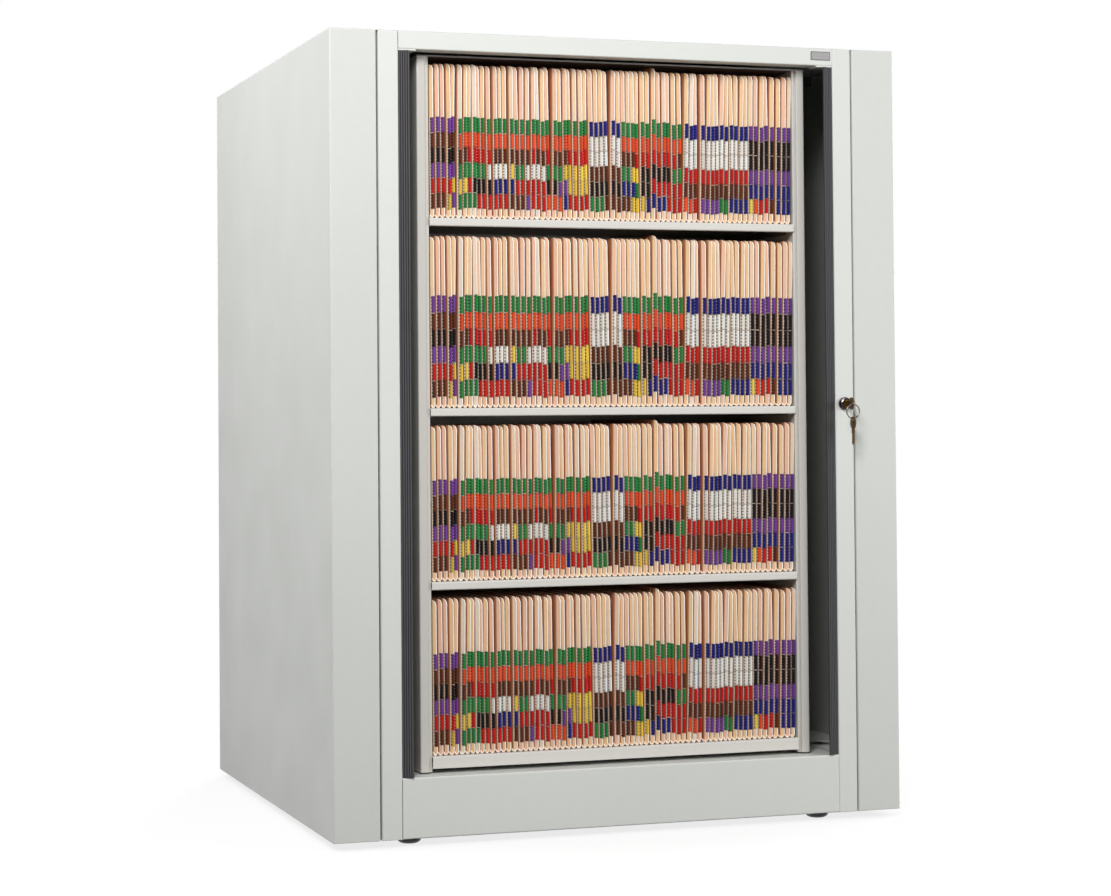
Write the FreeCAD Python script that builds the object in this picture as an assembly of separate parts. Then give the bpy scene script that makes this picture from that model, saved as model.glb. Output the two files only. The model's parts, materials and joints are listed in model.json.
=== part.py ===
import FreeCAD
import Part
import math
import os

# A rotary filing cabinet. Millimetres, Z up, the front faces -Y, the floor is z = 0.
# A two-sided shelf carousel stands on a roller turntable inside a folded sheet casing.
# The carousel's axis is x = 0; "depth" counts backwards from the casing's front plane.

# Sheet metal
skin = 1.2
bend = 1.0
frame_sheet = 2.0

# Carousel plan
file_width = 609.6
upright_face = 14.0
upright_strip = 5.2
upright_step = 4.0
upright_return = 24.0
carousel_depth = 632.0
liner_sheet = 1.0
shelf_end_gap = 0.3

# Carousel levels, from the lowest files up
tier_headroom = 24.7
tall_headroom = 24.9
top_headroom = 6.7
shelf_lip = 12.5
shelf_hem = 10.0
base_lip = 18.5
hem_margin = 10.0
roof_sheet = 2.0
centre_flange = 15.0
bracket_leg = 14.0
bracket_sheet = 1.5
bracket_setback = 30.0

# Folders that stand in the front compartments
folder_height = 241.3
tall_folder_height = 267.6
folder_setback = 6.0
folder_back_gap = 10.0
folder_side_gap = 3.0
folder_count = 69
folder_tab = 12.0
folder_gap = 0.8

# Casing
case_bottom = 12.0
recess = 30.0
side_clearance = 14.2
rear_clearance = 69.0
opening_gap = 37.0
post_width = 32.0
post_groove = 2.6
post_depth = 24.0
post_lip = 8.0
joint_depth = 18.0
joint_flange = 15.0
rear_return = 22.0
header_height = 28.0
header_depth = 28.0
header_hem = 12.0
header_clearance = 3.5
end_gap = 0.3
cap_flange = 20.0

# Base frame
rail_height = 86.0
rail_width = 40.0
front_rail_setback = 24.3
deck_sheet = 2.0
deck_setback = 130.0
deck_fold = 30.0
deck_beam_height = 50.0
deck_beam_width = 60.0
deck_beam_offset = 110.0
deck_hole = 48.0
deck_hole_setback = 174.0
deck_hole_inset = 56.0
plinth_rise = 4.0
flange_margin = 32.0
plinth_hem = 14.0
sweep_clearance = 2.5

# Turntable
pitch_radius = 160.0
roller_radius = 3.0
roller_length = 12.0
roller_count = 8
ring_sides = 48
roller_play = 0.05
race_sheet = 2.4
race_width = 30.0
cage_sheet = 2.0
cage_width = 26.0
cage_clearance = 0.3
plate_side = 400.0
plate_sheet = 3.0
channel_width = 90.0
channel_offset = 130.0
pivot_radius = 10.0
pivot_play = 0.05
pivot_stand = 4.0

# Upper pivot
beam_height = 18.0
beam_width = 70.0
upper_pin_radius = 8.0
upper_pin_gap = 0.3
bush_flats = 26.0
bush_height = 7.0

# Seals
seal_base = 3.5
seal_base_depth = 20.0
seal_inset = 2.0
seal_reach = 13.5
seal_forward = 3.0
seal_sheet = 1.6
seal_rib = 1.0
seal_ribs = 4
retainer_length = 28.0
retainer_sheet = 2.2

# Lock
lock_height = 665.0
bezel_radius = 10.5
bezel_depth = 8.0
bezel_edge = 2.5
barrel_radius = 9.0
barrel_length = 22.0
barrel_clearance = 0.1
nut_flats = 23.0
nut_height = 4.0
plug_radius = 6.0
plug_play = 0.05
plug_recess = 0.5
plug_tail = 2.0
crank_sheet = 2.5
crank_radius = 12.0
crank_pin_radius = 2.0
crank_pin_play = 0.45
crank_boss = 3.2
crank_swing = 90.0
bar_width = 12.0
bar_sheet = 3.0
bar_play = 0.8
bar_head_height = 30.0
bar_head_margin = 4.0
bar_foot_drop = 20.0
bolt_radius = 3.5
bolt_boss = 4.5
bolt_edge = 6.8
bolt_recess = 0.5
bolt_hole_clearance = 1.0
guide_sheet = 1.5
guide_height = 14.0
guide_low = 180.0
guide_high = 560.0
guide_clearance = 0.3
guide_lap = 2.0

# Keys
key_sheet = 2.2
key_bow_radius = 10.0
key_neck = 6.0
key_neck_height = 9.0
key_neck_lap = 2.0
key_blade_height = 7.0
key_blade_length = 19.0
key_cuts = 4
key_cut_depth = 1.6
key_hole_radius = 2.75
key_hole_offset = 5.5
key_clearance = 0.2
key_standoff = 2.0
ring_radius = 11.0
ring_wire = 0.9
ring_hang = 0.2

# Feet
foot_inset = 21.0
foot_setback = 42.0
foot_radius = 19.0
foot_height = 9.0
foot_edge = 4.0
foot_rim = 2.0
foot_sides = 20
foot_stem = 5.0
foot_stem_length = 52.0
foot_stem_clearance = 0.6
foot_nut_flats = 17.0
foot_nut_height = 8.0
foot_nut_play = 0.05

# Rear panel screws
screw_flats = 8.0
screw_height = 2.2
screw_edge = 12.0
side_screws = 4

# How far a cut runs past the sheet that it goes through
overcut = 1.0

# Levels worked out from the sizes above
rail_top = case_bottom + rail_height
deck_top = rail_top + deck_sheet
plinth_top = deck_top + plinth_rise
plate_bottom = deck_top + race_sheet + 2 * (roller_radius + roller_play)
base_bottom = plate_bottom + plate_sheet
base_top = base_bottom + base_lip
upright_bottom = plinth_top + sweep_clearance
folder_tier = folder_height + tier_headroom
shelf_tops = (
    base_top + folder_tier,
    base_top + 2 * folder_tier,
    base_top + 2 * folder_tier + tall_folder_height + tall_headroom,
)
roof_bottom = shelf_tops[2] + folder_height + top_headroom
roof_top = roof_bottom + roof_sheet
header_bottom = roof_top + header_clearance
case_top = header_bottom + header_height
cap_bottom = case_top - skin

# Plan worked out from the sizes above
half_file = file_width / 2
half_carousel = half_file + upright_face + upright_strip
half_depth = carousel_depth / 2
folder_depth = half_depth - folder_setback - folder_back_gap
bolt_offset = min(half_file, half_depth) - bolt_edge
base_hem = half_depth - bolt_offset + hem_margin
plinth_flange = recess + half_depth - bolt_offset + flange_margin
swing_radius = math.hypot(half_carousel, half_depth)
case_half = swing_radius + side_clearance + skin
case_depth = recess + half_depth + swing_radius + rear_clearance + 2 * skin
opening_half = half_carousel + opening_gap
post_outer = opening_half + post_width
return_inner = post_outer + post_groove
key_bow_y = -bezel_depth - key_standoff - key_neck - key_bow_radius
key_reach = key_bow_radius + key_hole_offset - key_bow_y
front = -(case_depth + screw_height - key_reach) / 2
rear = front + case_depth
axis_y = front + recess + half_depth
carousel_front = axis_y - half_depth
carousel_rear = axis_y + half_depth
rail_outer = case_half - skin
rail_inner = rail_outer - rail_width
lock_x = opening_half + post_width / 2
crank_travel = 2 * crank_radius * math.sin(math.radians(crank_swing / 2))
bolt_y = axis_y - bolt_offset
foot_x = opening_half - foot_inset
foot_front_y = front + foot_setback
foot_rear_y = rear - skin - rail_width / 2


def point(plane, u, v, level):
    # A point of a drawing plane: "xy", "xz" or "yz", at a level along its normal.
    if plane == "xy":
        return FreeCAD.Vector(u, v, level)
    if plane == "xz":
        return FreeCAD.Vector(u, level, v)
    return FreeCAD.Vector(level, u, v)


def normal(plane, length):
    if plane == "xy":
        return FreeCAD.Vector(0, 0, length)
    if plane == "xz":
        return FreeCAD.Vector(0, length, 0)
    return FreeCAD.Vector(length, 0, 0)


def corner_arc(before, here, after, radius):
    # The tangent arc that rounds one corner: its two ends and its middle point.
    inward = (before - here).normalize()
    onward = (after - here).normalize()
    half_angle = inward.getAngle(onward) / 2
    reach = radius / math.tan(half_angle)
    bisector = (inward + onward).normalize()
    centre = here + bisector * (radius / math.sin(half_angle))
    return here + inward * reach, centre - bisector * radius, here + onward * reach


def outline_face(plane, corners, level):
    # A closed face from corners (u, v) or (u, v, radius), with the rounded ones as arcs.
    spots = [point(plane, corner[0], corner[1], level) for corner in corners]
    edges = []
    ends = []
    for index, corner in enumerate(corners):
        here = spots[index]
        if len(corner) == 2 or corner[2] == 0:
            ends.append((here, here))
            continue
        after = spots[(index + 1) % len(spots)]
        start, middle, finish = corner_arc(spots[index - 1], here, after, corner[2])
        edges.append(Part.Arc(start, middle, finish).toShape())
        ends.append((start, finish))
    for index in range(len(ends)):
        start = ends[index - 1][1]
        finish = ends[index][0]
        if start.distanceToPoint(finish) > 0.0001:
            edges.append(Part.LineSegment(start, finish).toShape())
    wire = Part.Wire(Part.__sortEdges__(edges))
    return Part.Face(wire)


def prism(plane, corners, start, end):
    return outline_face(plane, corners, start).extrude(normal(plane, end - start))


def box(x_range, y_range, z_range):
    corner = FreeCAD.Vector(x_range[0], y_range[0], z_range[0])
    sides = (x_range[1] - x_range[0], y_range[1] - y_range[0], z_range[1] - z_range[0])
    return Part.makeBox(*sides, corner)


def rod(radius, start, direction, length):
    return Part.makeCylinder(radius, length, FreeCAD.Vector(*start), FreeCAD.Vector(*direction))


def revolved(profile, x, y):
    # A turned piece about the vertical line through x, y; the profile is (radius, z).
    face = outline_face("xz", profile, 0)
    turned = face.revolve(FreeCAD.Vector(0, 0, 0), FreeCAD.Vector(0, 0, 1), 360)
    turned.translate(FreeCAD.Vector(x, y, 0))
    return Part.Solid(turned) if turned.ShapeType == "Shell" else turned


def folded(line, thickness, inner_radius):
    # The section of a folded sheet: the line is one face of it and the sheet lies on its left.
    # A corner of the line is (u, v), or (u, v, 0) where the fold is drawn sharp.
    near = []
    far = []
    for index, corner in enumerate(line):
        u, v = corner[:2]
        sides = []
        for first, second in ((index - 1, index), (index, index + 1)):
            if first < 0 or second >= len(line):
                continue
            du = line[second][0] - line[first][0]
            dv = line[second][1] - line[first][1]
            length = math.hypot(du, dv)
            sides.append((-dv / length, du / length))
        if len(sides) == 1:
            near.append((u, v))
            far.append((u + sides[0][0] * thickness, v + sides[0][1] * thickness))
            continue
        (au, av), (bu, bv) = sides
        share = thickness / (1 + au * bu + av * bv)
        left_turn = au * bv - av * bu > 0
        inside = inner_radius if len(corner) == 2 else corner[2]
        outside = inside + thickness if inside else 0
        near.append((u, v, outside if left_turn else inside))
        far.append((u + (au + bu) * share, v + (av + bv) * share, inside if left_turn else outside))
    return near + far[::-1]


def mirrored(shape):
    return shape.mirror(FreeCAD.Vector(0, 0, 0), FreeCAD.Vector(1, 0, 0))


# Casing


def side_panel():
    # The right side: wide front return, the leg along the groove, its joint flange, rear return.
    line = [
        (return_inner + joint_flange, front + joint_depth),
        (return_inner, front + joint_depth, 0),
        (return_inner, front),
        (case_half, front),
        (case_half, rear - skin),
        (case_half - rear_return, rear - skin),
    ]
    return prism("xy", folded(line, skin, bend), case_bottom, cap_bottom)


def front_post():
    # The right post: a channel whose outer leg laps behind the side panel's joint flange.
    line = [
        (opening_half + post_lip, front + post_depth),
        (opening_half, front + post_depth, 0),
        (opening_half, front),
        (post_outer, front),
        (post_outer, front + joint_depth, 0),
        (return_inner + joint_flange, front + joint_depth),
    ]
    return prism("xy", folded(line, skin, bend), case_bottom, cap_bottom)


def right_front_post():
    reach = barrel_radius + barrel_clearance
    hole = rod(reach, (lock_x, front - skin, lock_height), (0, 1, 0), 3 * skin)
    return front_post().cut(hole)


def front_header():
    line = [
        (front, cap_bottom),
        (front, header_bottom),
        (front + header_depth, header_bottom, 0),
        (front + header_depth, header_bottom + header_hem),
    ]
    return prism("yz", folded(line, skin, bend), end_gap - opening_half, opening_half - end_gap)


def front_plinth():
    # The plinth's deep top flange ends in a hem that stands on the front rail.
    line = [
        (front + plinth_flange, rail_top),
        (front + plinth_flange, plinth_top, 0),
        (front, plinth_top),
        (front, case_bottom),
        (front + plinth_hem, case_bottom),
    ]
    skirt = prism("yz", folded(line, skin, bend), end_gap - opening_half, opening_half - end_gap)
    return skirt.cut(bolt_way(plinth_top))


def bolt_way(level):
    # The square hole that the lock's bolt passes through on its way up to the carousel.
    reach = bolt_radius + bolt_hole_clearance
    drop = 3 * frame_sheet
    x_range = (bolt_offset - reach, bolt_offset + reach)
    return box(x_range, (bolt_y - reach, bolt_y + reach), (level - drop, level + drop))


def bar_notch():
    # The notch that lets the lock bar down past the front rail's top flange.
    side = bar_width / 2 + bar_play + guide_sheet
    y_range = (front + front_rail_setback - overcut, bar_back() + guide_clearance + guide_sheet)
    return box((lock_x - side, lock_x + side), y_range, (rail_top - 2 * frame_sheet, rail_top + overcut))


def top_panel():
    line = [
        (rear - skin, case_top - cap_flange),
        (rear - skin, case_top),
        (front, case_top),
    ]
    cap = prism("yz", folded(line, skin, bend), -case_half, case_half)
    inner = case_half - rear_return - end_gap
    flange_y = (rear - 3 * skin, rear)
    for side in ((inner, case_half + overcut), (-case_half - overcut, -inner)):
        cap = cap.cut(box(side, flange_y, (case_top - cap_flange - overcut, cap_bottom)))
    return cap


def rear_panel():
    corners = [
        (-case_half, case_bottom),
        (case_half, case_bottom),
        (case_half, case_top),
        (-case_half, case_top),
    ]
    return prism("xz", corners, rear - skin, rear)


def hexagon(u, v, flats):
    corner = flats / math.sqrt(3)
    ring = []
    for step in range(6):
        angle = math.radians(60 * step)
        ring.append((u + corner * math.cos(angle), v + corner * math.sin(angle)))
    return ring


def rear_panel_screws():
    # Hexagon heads down both edges, and one each on the rear rail and on the cap's flange.
    first = case_bottom + rail_height / 2
    last = case_top - cap_flange / 2
    places = [(0, first), (0, last)]
    for index in range(side_screws):
        level = first + (last - first) * index / (side_screws - 1)
        places += [(case_half - screw_edge, level), (screw_edge - case_half, level)]
    heads = []
    for x, z in places:
        heads.append(prism("xz", hexagon(x, z, screw_flats), rear, rear + screw_height))
    return Part.makeCompound(heads)


def top_cross_beam():
    # An inverted channel from side to side, right under the cap.
    line = [
        (axis_y + beam_width / 2, cap_bottom - beam_height),
        (axis_y + beam_width / 2, cap_bottom, 0),
        (axis_y - beam_width / 2, cap_bottom, 0),
        (axis_y - beam_width / 2, cap_bottom - beam_height),
    ]
    section = folded(line, frame_sheet, bend)
    return prism("yz", section, skin - case_half, case_half - skin)


def upper_pivot_pin():
    low = roof_bottom + upper_pin_gap
    high = cap_bottom - frame_sheet
    return rod(upper_pin_radius, (0, axis_y, low), (0, 0, 1), high - low)


# Base frame


def cross_rail(y_near, y_far):
    # A rail from side to side, its web at the far edge and both flanges pointing forward.
    line = [
        (y_near, case_bottom),
        (y_far, case_bottom, 0),
        (y_far, rail_top, 0),
        (y_near, rail_top),
    ]
    reach = rail_inner - end_gap
    return prism("yz", folded(line, frame_sheet, bend), -reach, reach)


def foot_hole(x, y):
    reach = foot_stem + foot_stem_clearance
    z_range = (case_bottom - overcut, case_bottom + frame_sheet + overcut)
    return box((x - reach, x + reach), (y - reach, y + reach), z_range)


def front_rail():
    rail = cross_rail(front + front_rail_setback, front + plinth_flange)
    for x in (-foot_x, foot_x):
        rail = rail.cut(foot_hole(x, foot_front_y))
    return rail.cut(bolt_way(rail_top)).cut(bar_notch())


def rear_rail():
    rail = cross_rail(rear - skin - rail_width, rear - skin)
    for x in (-foot_x, foot_x):
        rail = rail.cut(foot_hole(x, foot_rear_y))
    return rail


def side_rail():
    line = [
        (rail_inner, case_bottom),
        (rail_outer, case_bottom, 0),
        (rail_outer, rail_top, 0),
        (rail_inner, rail_top),
    ]
    start = front + joint_depth + 2 * skin
    return prism("xz", folded(line, frame_sheet, bend), start, rear - 2 * skin - bend)


def base_deck():
    # The deck over the base, its front edge folded down, with a hole in each front corner.
    line = [
        (rear - 2 * skin - end_gap, deck_top),
        (front + deck_setback, deck_top, 0),
        (front + deck_setback, deck_top - deck_fold),
    ]
    section = folded(line, deck_sheet, bend)
    reach = rail_inner - end_gap
    deck = prism("yz", section, -reach, reach)
    y_range = (front + deck_setback, rear - 2 * skin - end_gap)
    edge = box((reach, rail_outer - end_gap), y_range, (rail_top, deck_top))
    deck = deck.fuse([edge, mirrored(edge)]).removeSplitter()
    hole_x = rail_outer - deck_hole_inset
    for x in (-hole_x, hole_x):
        centre = (x, front + deck_hole_setback, rail_top - overcut)
        deck = deck.cut(rod(deck_hole / 2, centre, (0, 0, 1), deck_sheet + 2 * overcut))
    return deck


def deck_beams():
    beams = []
    for side in (-1, 1):
        middle = axis_y + side * deck_beam_offset
        near = middle - deck_beam_width / 2
        far = middle + deck_beam_width / 2
        line = [
            (far, rail_top - deck_beam_height),
            (far, rail_top, 0),
            (near, rail_top, 0),
            (near, rail_top - deck_beam_height),
        ]
        section = folded(line, frame_sheet, bend)
        beams.append(prism("yz", section, end_gap - rail_inner, rail_inner - end_gap))
    return Part.makeCompound(beams)


def many_sided(x, y, radius, sides):
    # Corners of a regular outline with so many flats, for a round piece of plain facets.
    ring = []
    for step in range(sides):
        angle = 2 * math.pi * (step + 0.5) / sides
        ring.append((x + radius * math.cos(angle), y + radius * math.sin(angle)))
    return ring


def flat_ring(inner, outer, low, high):
    # A flat ring about the carousel's axis.
    ring = prism("xy", many_sided(0, axis_y, outer, ring_sides), low, high)
    return ring.cut(prism("xy", many_sided(0, axis_y, inner, ring_sides), low, high))


def faceted(rings):
    # A solid of flat facets through a stack of outlines, each one a (level, corners) pair.
    faces = []
    stack = [[FreeCAD.Vector(u, v, level) for u, v in corners] for level, corners in rings]
    for lower, upper in zip(stack, stack[1:]):
        for index in range(len(lower)):
            corners = [lower[index - 1], lower[index], upper[index], upper[index - 1]]
            faces.append(Part.Face(Part.makePolygon(corners + corners[:1])))
    for end in (stack[0], stack[-1]):
        faces.append(Part.Face(Part.makePolygon(end + end[:1])))
    return Part.Solid(Part.makeShell(faces))


def levelling_foot(x, y):
    # A moulded glide, bevelled under and over, on a plain stem.
    levels = (
        (0, foot_radius - foot_edge),
        (foot_edge, foot_radius),
        (foot_height - foot_rim, foot_radius),
        (foot_height, foot_radius - foot_rim),
    )
    rings = [(level, many_sided(x, y, radius, foot_sides)) for level, radius in levels]
    glide = faceted(rings)
    stem = rod(foot_stem, (x, y, foot_height), (0, 0, 1), foot_stem_length)
    return glide.fuse(stem)


def foot_nuts():
    # Hexagon nuts welded on the rails' lower flanges, one for each foot's stem.
    floor = case_bottom + frame_sheet
    nuts = []
    for y in (foot_front_y, foot_rear_y):
        for x in (-foot_x, foot_x):
            nut = prism("xy", hexagon(x, y, foot_nut_flats), floor, floor + foot_nut_height)
            bore = rod(foot_stem + foot_nut_play, (x, y, floor), (0, 0, 1), foot_nut_height)
            nuts.append(nut.cut(bore))
    return Part.makeCompound(nuts)


# Turntable


def roller_level():
    return deck_top + race_sheet + roller_play + roller_radius


def lower_bearing_race():
    # A flat ring on the deck that the rollers run on, under the turntable plate.
    inner = pitch_radius - race_width / 2
    outer = pitch_radius + race_width / 2
    top = deck_top + race_sheet
    return flat_ring(inner, outer, deck_top, top)


def roller_starts():
    # Each roller's inner end and the direction of its axis, which points away from the pivot.
    starts = []
    for index in range(roller_count):
        angle = 2 * math.pi * (index + 0.5) / roller_count
        outward = FreeCAD.Vector(math.cos(angle), math.sin(angle), 0)
        centre = FreeCAD.Vector(0, axis_y, roller_level())
        starts.append((centre + outward * (pitch_radius - roller_length / 2), outward))
    return starts


def bearing_rollers():
    rollers = []
    for start, outward in roller_starts():
        rollers.append(Part.makeCylinder(roller_radius, roller_length, start, outward))
    return Part.makeCompound(rollers)


def roller_cage():
    # A flat ring at the rollers' middle level, with a pocket for each roller.
    inner = pitch_radius - cage_width / 2
    outer = pitch_radius + cage_width / 2
    low = roller_level() - cage_sheet / 2
    high = roller_level() + cage_sheet / 2
    cage = flat_ring(inner, outer, low, high)
    half = roller_radius + roller_play
    reach = roller_length + 2 * cage_clearance
    for start, outward in roller_starts():
        pocket = Part.makeBox(reach, 2 * half, 2 * cage_sheet)
        pocket.translate(FreeCAD.Vector(-cage_clearance, -half, -cage_sheet))
        turn = math.degrees(math.atan2(outward.y, outward.x))
        pocket.rotate(FreeCAD.Vector(0, 0, 0), FreeCAD.Vector(0, 0, 1), turn)
        pocket.translate(start)
        cage = cage.cut(pocket)
    return cage


def lower_pivot_pin():
    high = base_bottom + pivot_stand
    return rod(pivot_radius, (0, axis_y, deck_top), (0, 0, 1), high - deck_top)


def turntable_plate():
    half = plate_side / 2
    z_range = (plate_bottom, base_bottom)
    plate = box((-half, half), (axis_y - half, axis_y + half), z_range)
    bore = rod(pivot_radius + pivot_play, (0, axis_y, plate_bottom), (0, 0, 1), plate_sheet)
    return plate.cut(bore)


def base_channels():
    # Two channels carry the shelf load from the carousel's base down to the turntable plate.
    top = base_top - skin
    channels = []
    for side in (-1, 1):
        near = axis_y + side * channel_offset - channel_width / 2
        far = near + channel_width
        line = [(far, base_bottom), (far, top, 0), (near, top, 0), (near, base_bottom)]
        section = folded(line, frame_sheet, bend)
        channels.append(prism("yz", section, bracket_leg - half_file, half_file - bracket_leg))
    return Part.makeCompound(channels)


# Carousel


def end_panel():
    # The right end: a flat outer skin whose front and rear edges fold into stepped uprights.
    line = [
        (half_file, carousel_front + upright_step + upright_return),
        (half_file, carousel_front + upright_step, 0),
        (half_file + upright_strip, carousel_front + upright_step, 0),
        (half_file + upright_strip, carousel_front),
        (half_carousel, carousel_front),
        (half_carousel, carousel_rear),
        (half_file + upright_strip, carousel_rear),
        (half_file + upright_strip, carousel_rear - upright_step, 0),
        (half_file, carousel_rear - upright_step, 0),
        (half_file, carousel_rear - upright_step - upright_return),
    ]
    return prism("xy", folded(line, skin, bend), upright_bottom, roof_bottom)


def end_liner():
    # The flat inner wall of the right end, seated behind the uprights' inner returns.
    start = half_file + skin
    inset = upright_step + skin
    y_range = (carousel_front + inset, carousel_rear - inset)
    return box((start, start + liner_sheet), y_range, (upright_bottom, roof_bottom))


def carousel_base():
    line = [
        (carousel_rear - base_hem, base_bottom),
        (carousel_rear, base_bottom, 0),
        (carousel_rear, base_top),
        (carousel_front, base_top),
        (carousel_front, base_bottom, 0),
        (carousel_front + base_hem, base_bottom),
    ]
    reach = half_file - shelf_end_gap
    base = prism("yz", folded(line, skin, bend), -reach, reach)
    half = bolt_radius + bolt_hole_clearance
    z_range = (base_bottom - overcut, base_bottom + skin + overcut)
    for x in (-bolt_offset, bolt_offset):
        for y in (axis_y - bolt_offset, axis_y + bolt_offset):
            base = base.cut(box((x - half, x + half), (y - half, y + half), z_range))
    return base


def shelf(level, facing):
    # One shelf, from the centre panel out to its folded lip; facing is -1 front, 1 rear.
    lip = half_depth
    back = skin / 2
    line = [
        (-back, level - shelf_lip),
        (-back, level, 0),
        (-lip, level),
        (-lip, level - shelf_lip),
        (shelf_hem - lip, level - shelf_lip),
    ]
    section = []
    for corner in folded(line, skin, bend):
        section.append((axis_y - facing * corner[0], *corner[1:]))
    reach = half_file - shelf_end_gap
    return prism("yz", section, -reach, reach)


def centre_panel():
    near = axis_y - skin / 2
    line = [
        (near + centre_flange, roof_bottom),
        (near, roof_bottom, 0),
        (near, base_top, 0),
        (near + centre_flange, base_top),
    ]
    reach = half_file - shelf_end_gap
    return prism("yz", folded(line, skin, bend), -reach, reach)


def shelf_brackets():
    # An angle under each end of each shelf, fixed to the end liner.
    wall = half_file + skin
    start = bracket_setback
    stop = half_depth - bracket_setback
    pieces = []
    for level in shelf_tops:
        top = level - skin
        line = [(wall, top - bracket_leg), (wall, top, 0), (wall - bracket_leg, top)]
        section = folded(line, bracket_sheet, bend)
        for facing in (-1, 1):
            near, far = sorted((axis_y + facing * start, axis_y + facing * stop))
            angle = prism("xz", section, near, far)
            pieces += [angle, mirrored(angle)]
    return Part.makeCompound(pieces)


def carousel_top():
    corners = [
        (-half_carousel, carousel_front),
        (half_carousel, carousel_front),
        (half_carousel, carousel_rear),
        (-half_carousel, carousel_rear),
    ]
    roof = prism("xy", corners, roof_bottom, roof_top)
    return roof.cut(prism("xy", hexagon(0, axis_y, bush_flats), roof_bottom, roof_top))


def upper_bushing():
    # A six-sided sleeve pressed into the roof's hole, around the casing's pin.
    sleeve = prism("xy", hexagon(0, axis_y, bush_flats), roof_bottom, roof_bottom + bush_height)
    bore = rod(upper_pin_radius + pivot_play, (0, axis_y, roof_bottom), (0, 0, 1), bush_height)
    return sleeve.cut(bore)


def folders(level, height):
    # A row of end-tab folders as one solid: a pleat for each, with its tab's edge in front.
    reach = half_file - folder_side_gap
    front_y = carousel_front + folder_setback
    back_y = front_y + folder_depth
    pitch = 2 * reach / folder_count
    corners = [(reach, front_y + folder_tab), (reach, back_y), (-reach, back_y)]
    for index in range(folder_count):
        start = -reach + index * pitch
        corners.append((start, front_y + folder_tab))
        corners.append((start + pitch - folder_gap, front_y))
    return prism("xy", corners, level, level + height)


# Seals


def seal_strip():
    # The right strip: a base on the post's inner leg and a ribbed flap, inward and forward.
    root = (opening_half - seal_base, front + seal_inset)
    tip = (root[0] - seal_reach, front - seal_forward)
    run_x = tip[0] - root[0]
    run_y = tip[1] - root[1]
    length = math.hypot(run_x, run_y)
    along = (run_x / length, run_y / length)
    out = (-along[1], along[0])
    if out[1] > 0:
        out = (-out[0], -out[1])
    corners = [
        (opening_half, front + seal_inset),
        (opening_half, front + seal_inset + seal_base_depth),
        (root[0], front + seal_inset + seal_base_depth),
        (root[0], root[1] + seal_sheet),
        (tip[0] - out[0] * seal_sheet, tip[1] - out[1] * seal_sheet),
    ]
    step = length / seal_ribs
    for rib in range(seal_ribs, 0, -1):
        for share, rise in ((rib, 0), (rib - 0.25, seal_rib), (rib - 0.75, seal_rib)):
            x = root[0] + along[0] * share * step + out[0] * rise
            corners.append((x, root[1] + along[1] * share * step + out[1] * rise))
    corners.append(root)
    return prism("xy", corners, plinth_top + end_gap, header_bottom - retainer_sheet)


def seal_retainers():
    # A plate under each end of the header holds the strip's top.
    y_range = (front + end_gap, front + header_depth)
    z_range = (header_bottom - retainer_sheet, header_bottom)
    plate = box((opening_half - retainer_length, opening_half - end_gap), y_range, z_range)
    return Part.makeCompound([plate, mirrored(plate)])


# Lock


def lock_housing():
    # A turned bezel with a bevelled rim, its barrel through the post, and the plug's bore.
    bore = plug_radius + plug_play
    profile = [
        (bore, bezel_depth),
        (bezel_radius - bezel_edge, bezel_depth),
        (bezel_radius, bezel_depth - bezel_edge),
        (bezel_radius, 0),
        (barrel_radius, 0),
        (barrel_radius, -barrel_length),
        (bore, -barrel_length),
    ]
    housing = revolved(profile, 0, 0)
    housing.rotate(FreeCAD.Vector(0, 0, 0), FreeCAD.Vector(1, 0, 0), 90)
    housing.translate(FreeCAD.Vector(lock_x, front, lock_height))
    return housing


def lock_nut():
    start = front + skin
    nut = prism("xz", hexagon(lock_x, lock_height, nut_flats), start, start + nut_height)
    reach = barrel_radius + barrel_clearance
    return nut.cut(rod(reach, (lock_x, start, lock_height), (0, 1, 0), nut_height))


def plug_end():
    return front + barrel_length + plug_tail


def lock_plug():
    mouth = front - bezel_depth + plug_recess
    length = plug_end() - mouth
    plug = rod(plug_radius, (lock_x, mouth, lock_height), (0, 1, 0), length)
    half_slot = key_sheet / 2 + key_clearance
    half_height = key_blade_height / 2 + key_clearance
    slot_end = key_tip() + key_clearance
    slot = box(
        (lock_x - half_slot, lock_x + half_slot),
        (mouth - overcut, slot_end),
        (lock_height - half_height, lock_height + half_height),
    )
    return plug.cut(slot)


def crank_spot(turned):
    # The crank pin's place after the plug has turned by so many degrees.
    angle = math.radians(turned - crank_swing / 2)
    return lock_x + crank_radius * math.cos(angle), lock_height + crank_radius * math.sin(angle)


def lock_cam():
    # A crank on the plug's tail; its pin lifts the lock bar as the plug turns.
    pin_x, pin_z = crank_spot(0)
    start = plug_end()
    length = math.hypot(pin_x - lock_x, pin_z - lock_height)
    along = ((pin_x - lock_x) / length * crank_boss, (pin_z - lock_height) / length * crank_boss)
    side = (-along[1], along[0])
    corners = [
        (lock_x - along[0] + side[0], lock_height - along[1] + side[1]),
        (lock_x - along[0] - side[0], lock_height - along[1] - side[1]),
        (pin_x + along[0] - side[0], pin_z + along[1] - side[1]),
        (pin_x + along[0] + side[0], pin_z + along[1] + side[1]),
    ]
    arm = prism("xz", corners, start, start + crank_sheet)
    pin_start = start + crank_sheet
    pin = rod(crank_pin_radius, (pin_x, pin_start, pin_z), (0, 1, 0), bar_back() - pin_start)
    return arm.fuse(pin)


def bar_front():
    return plug_end() + crank_sheet + bar_play


def bar_back():
    return bar_front() + bar_sheet


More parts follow.
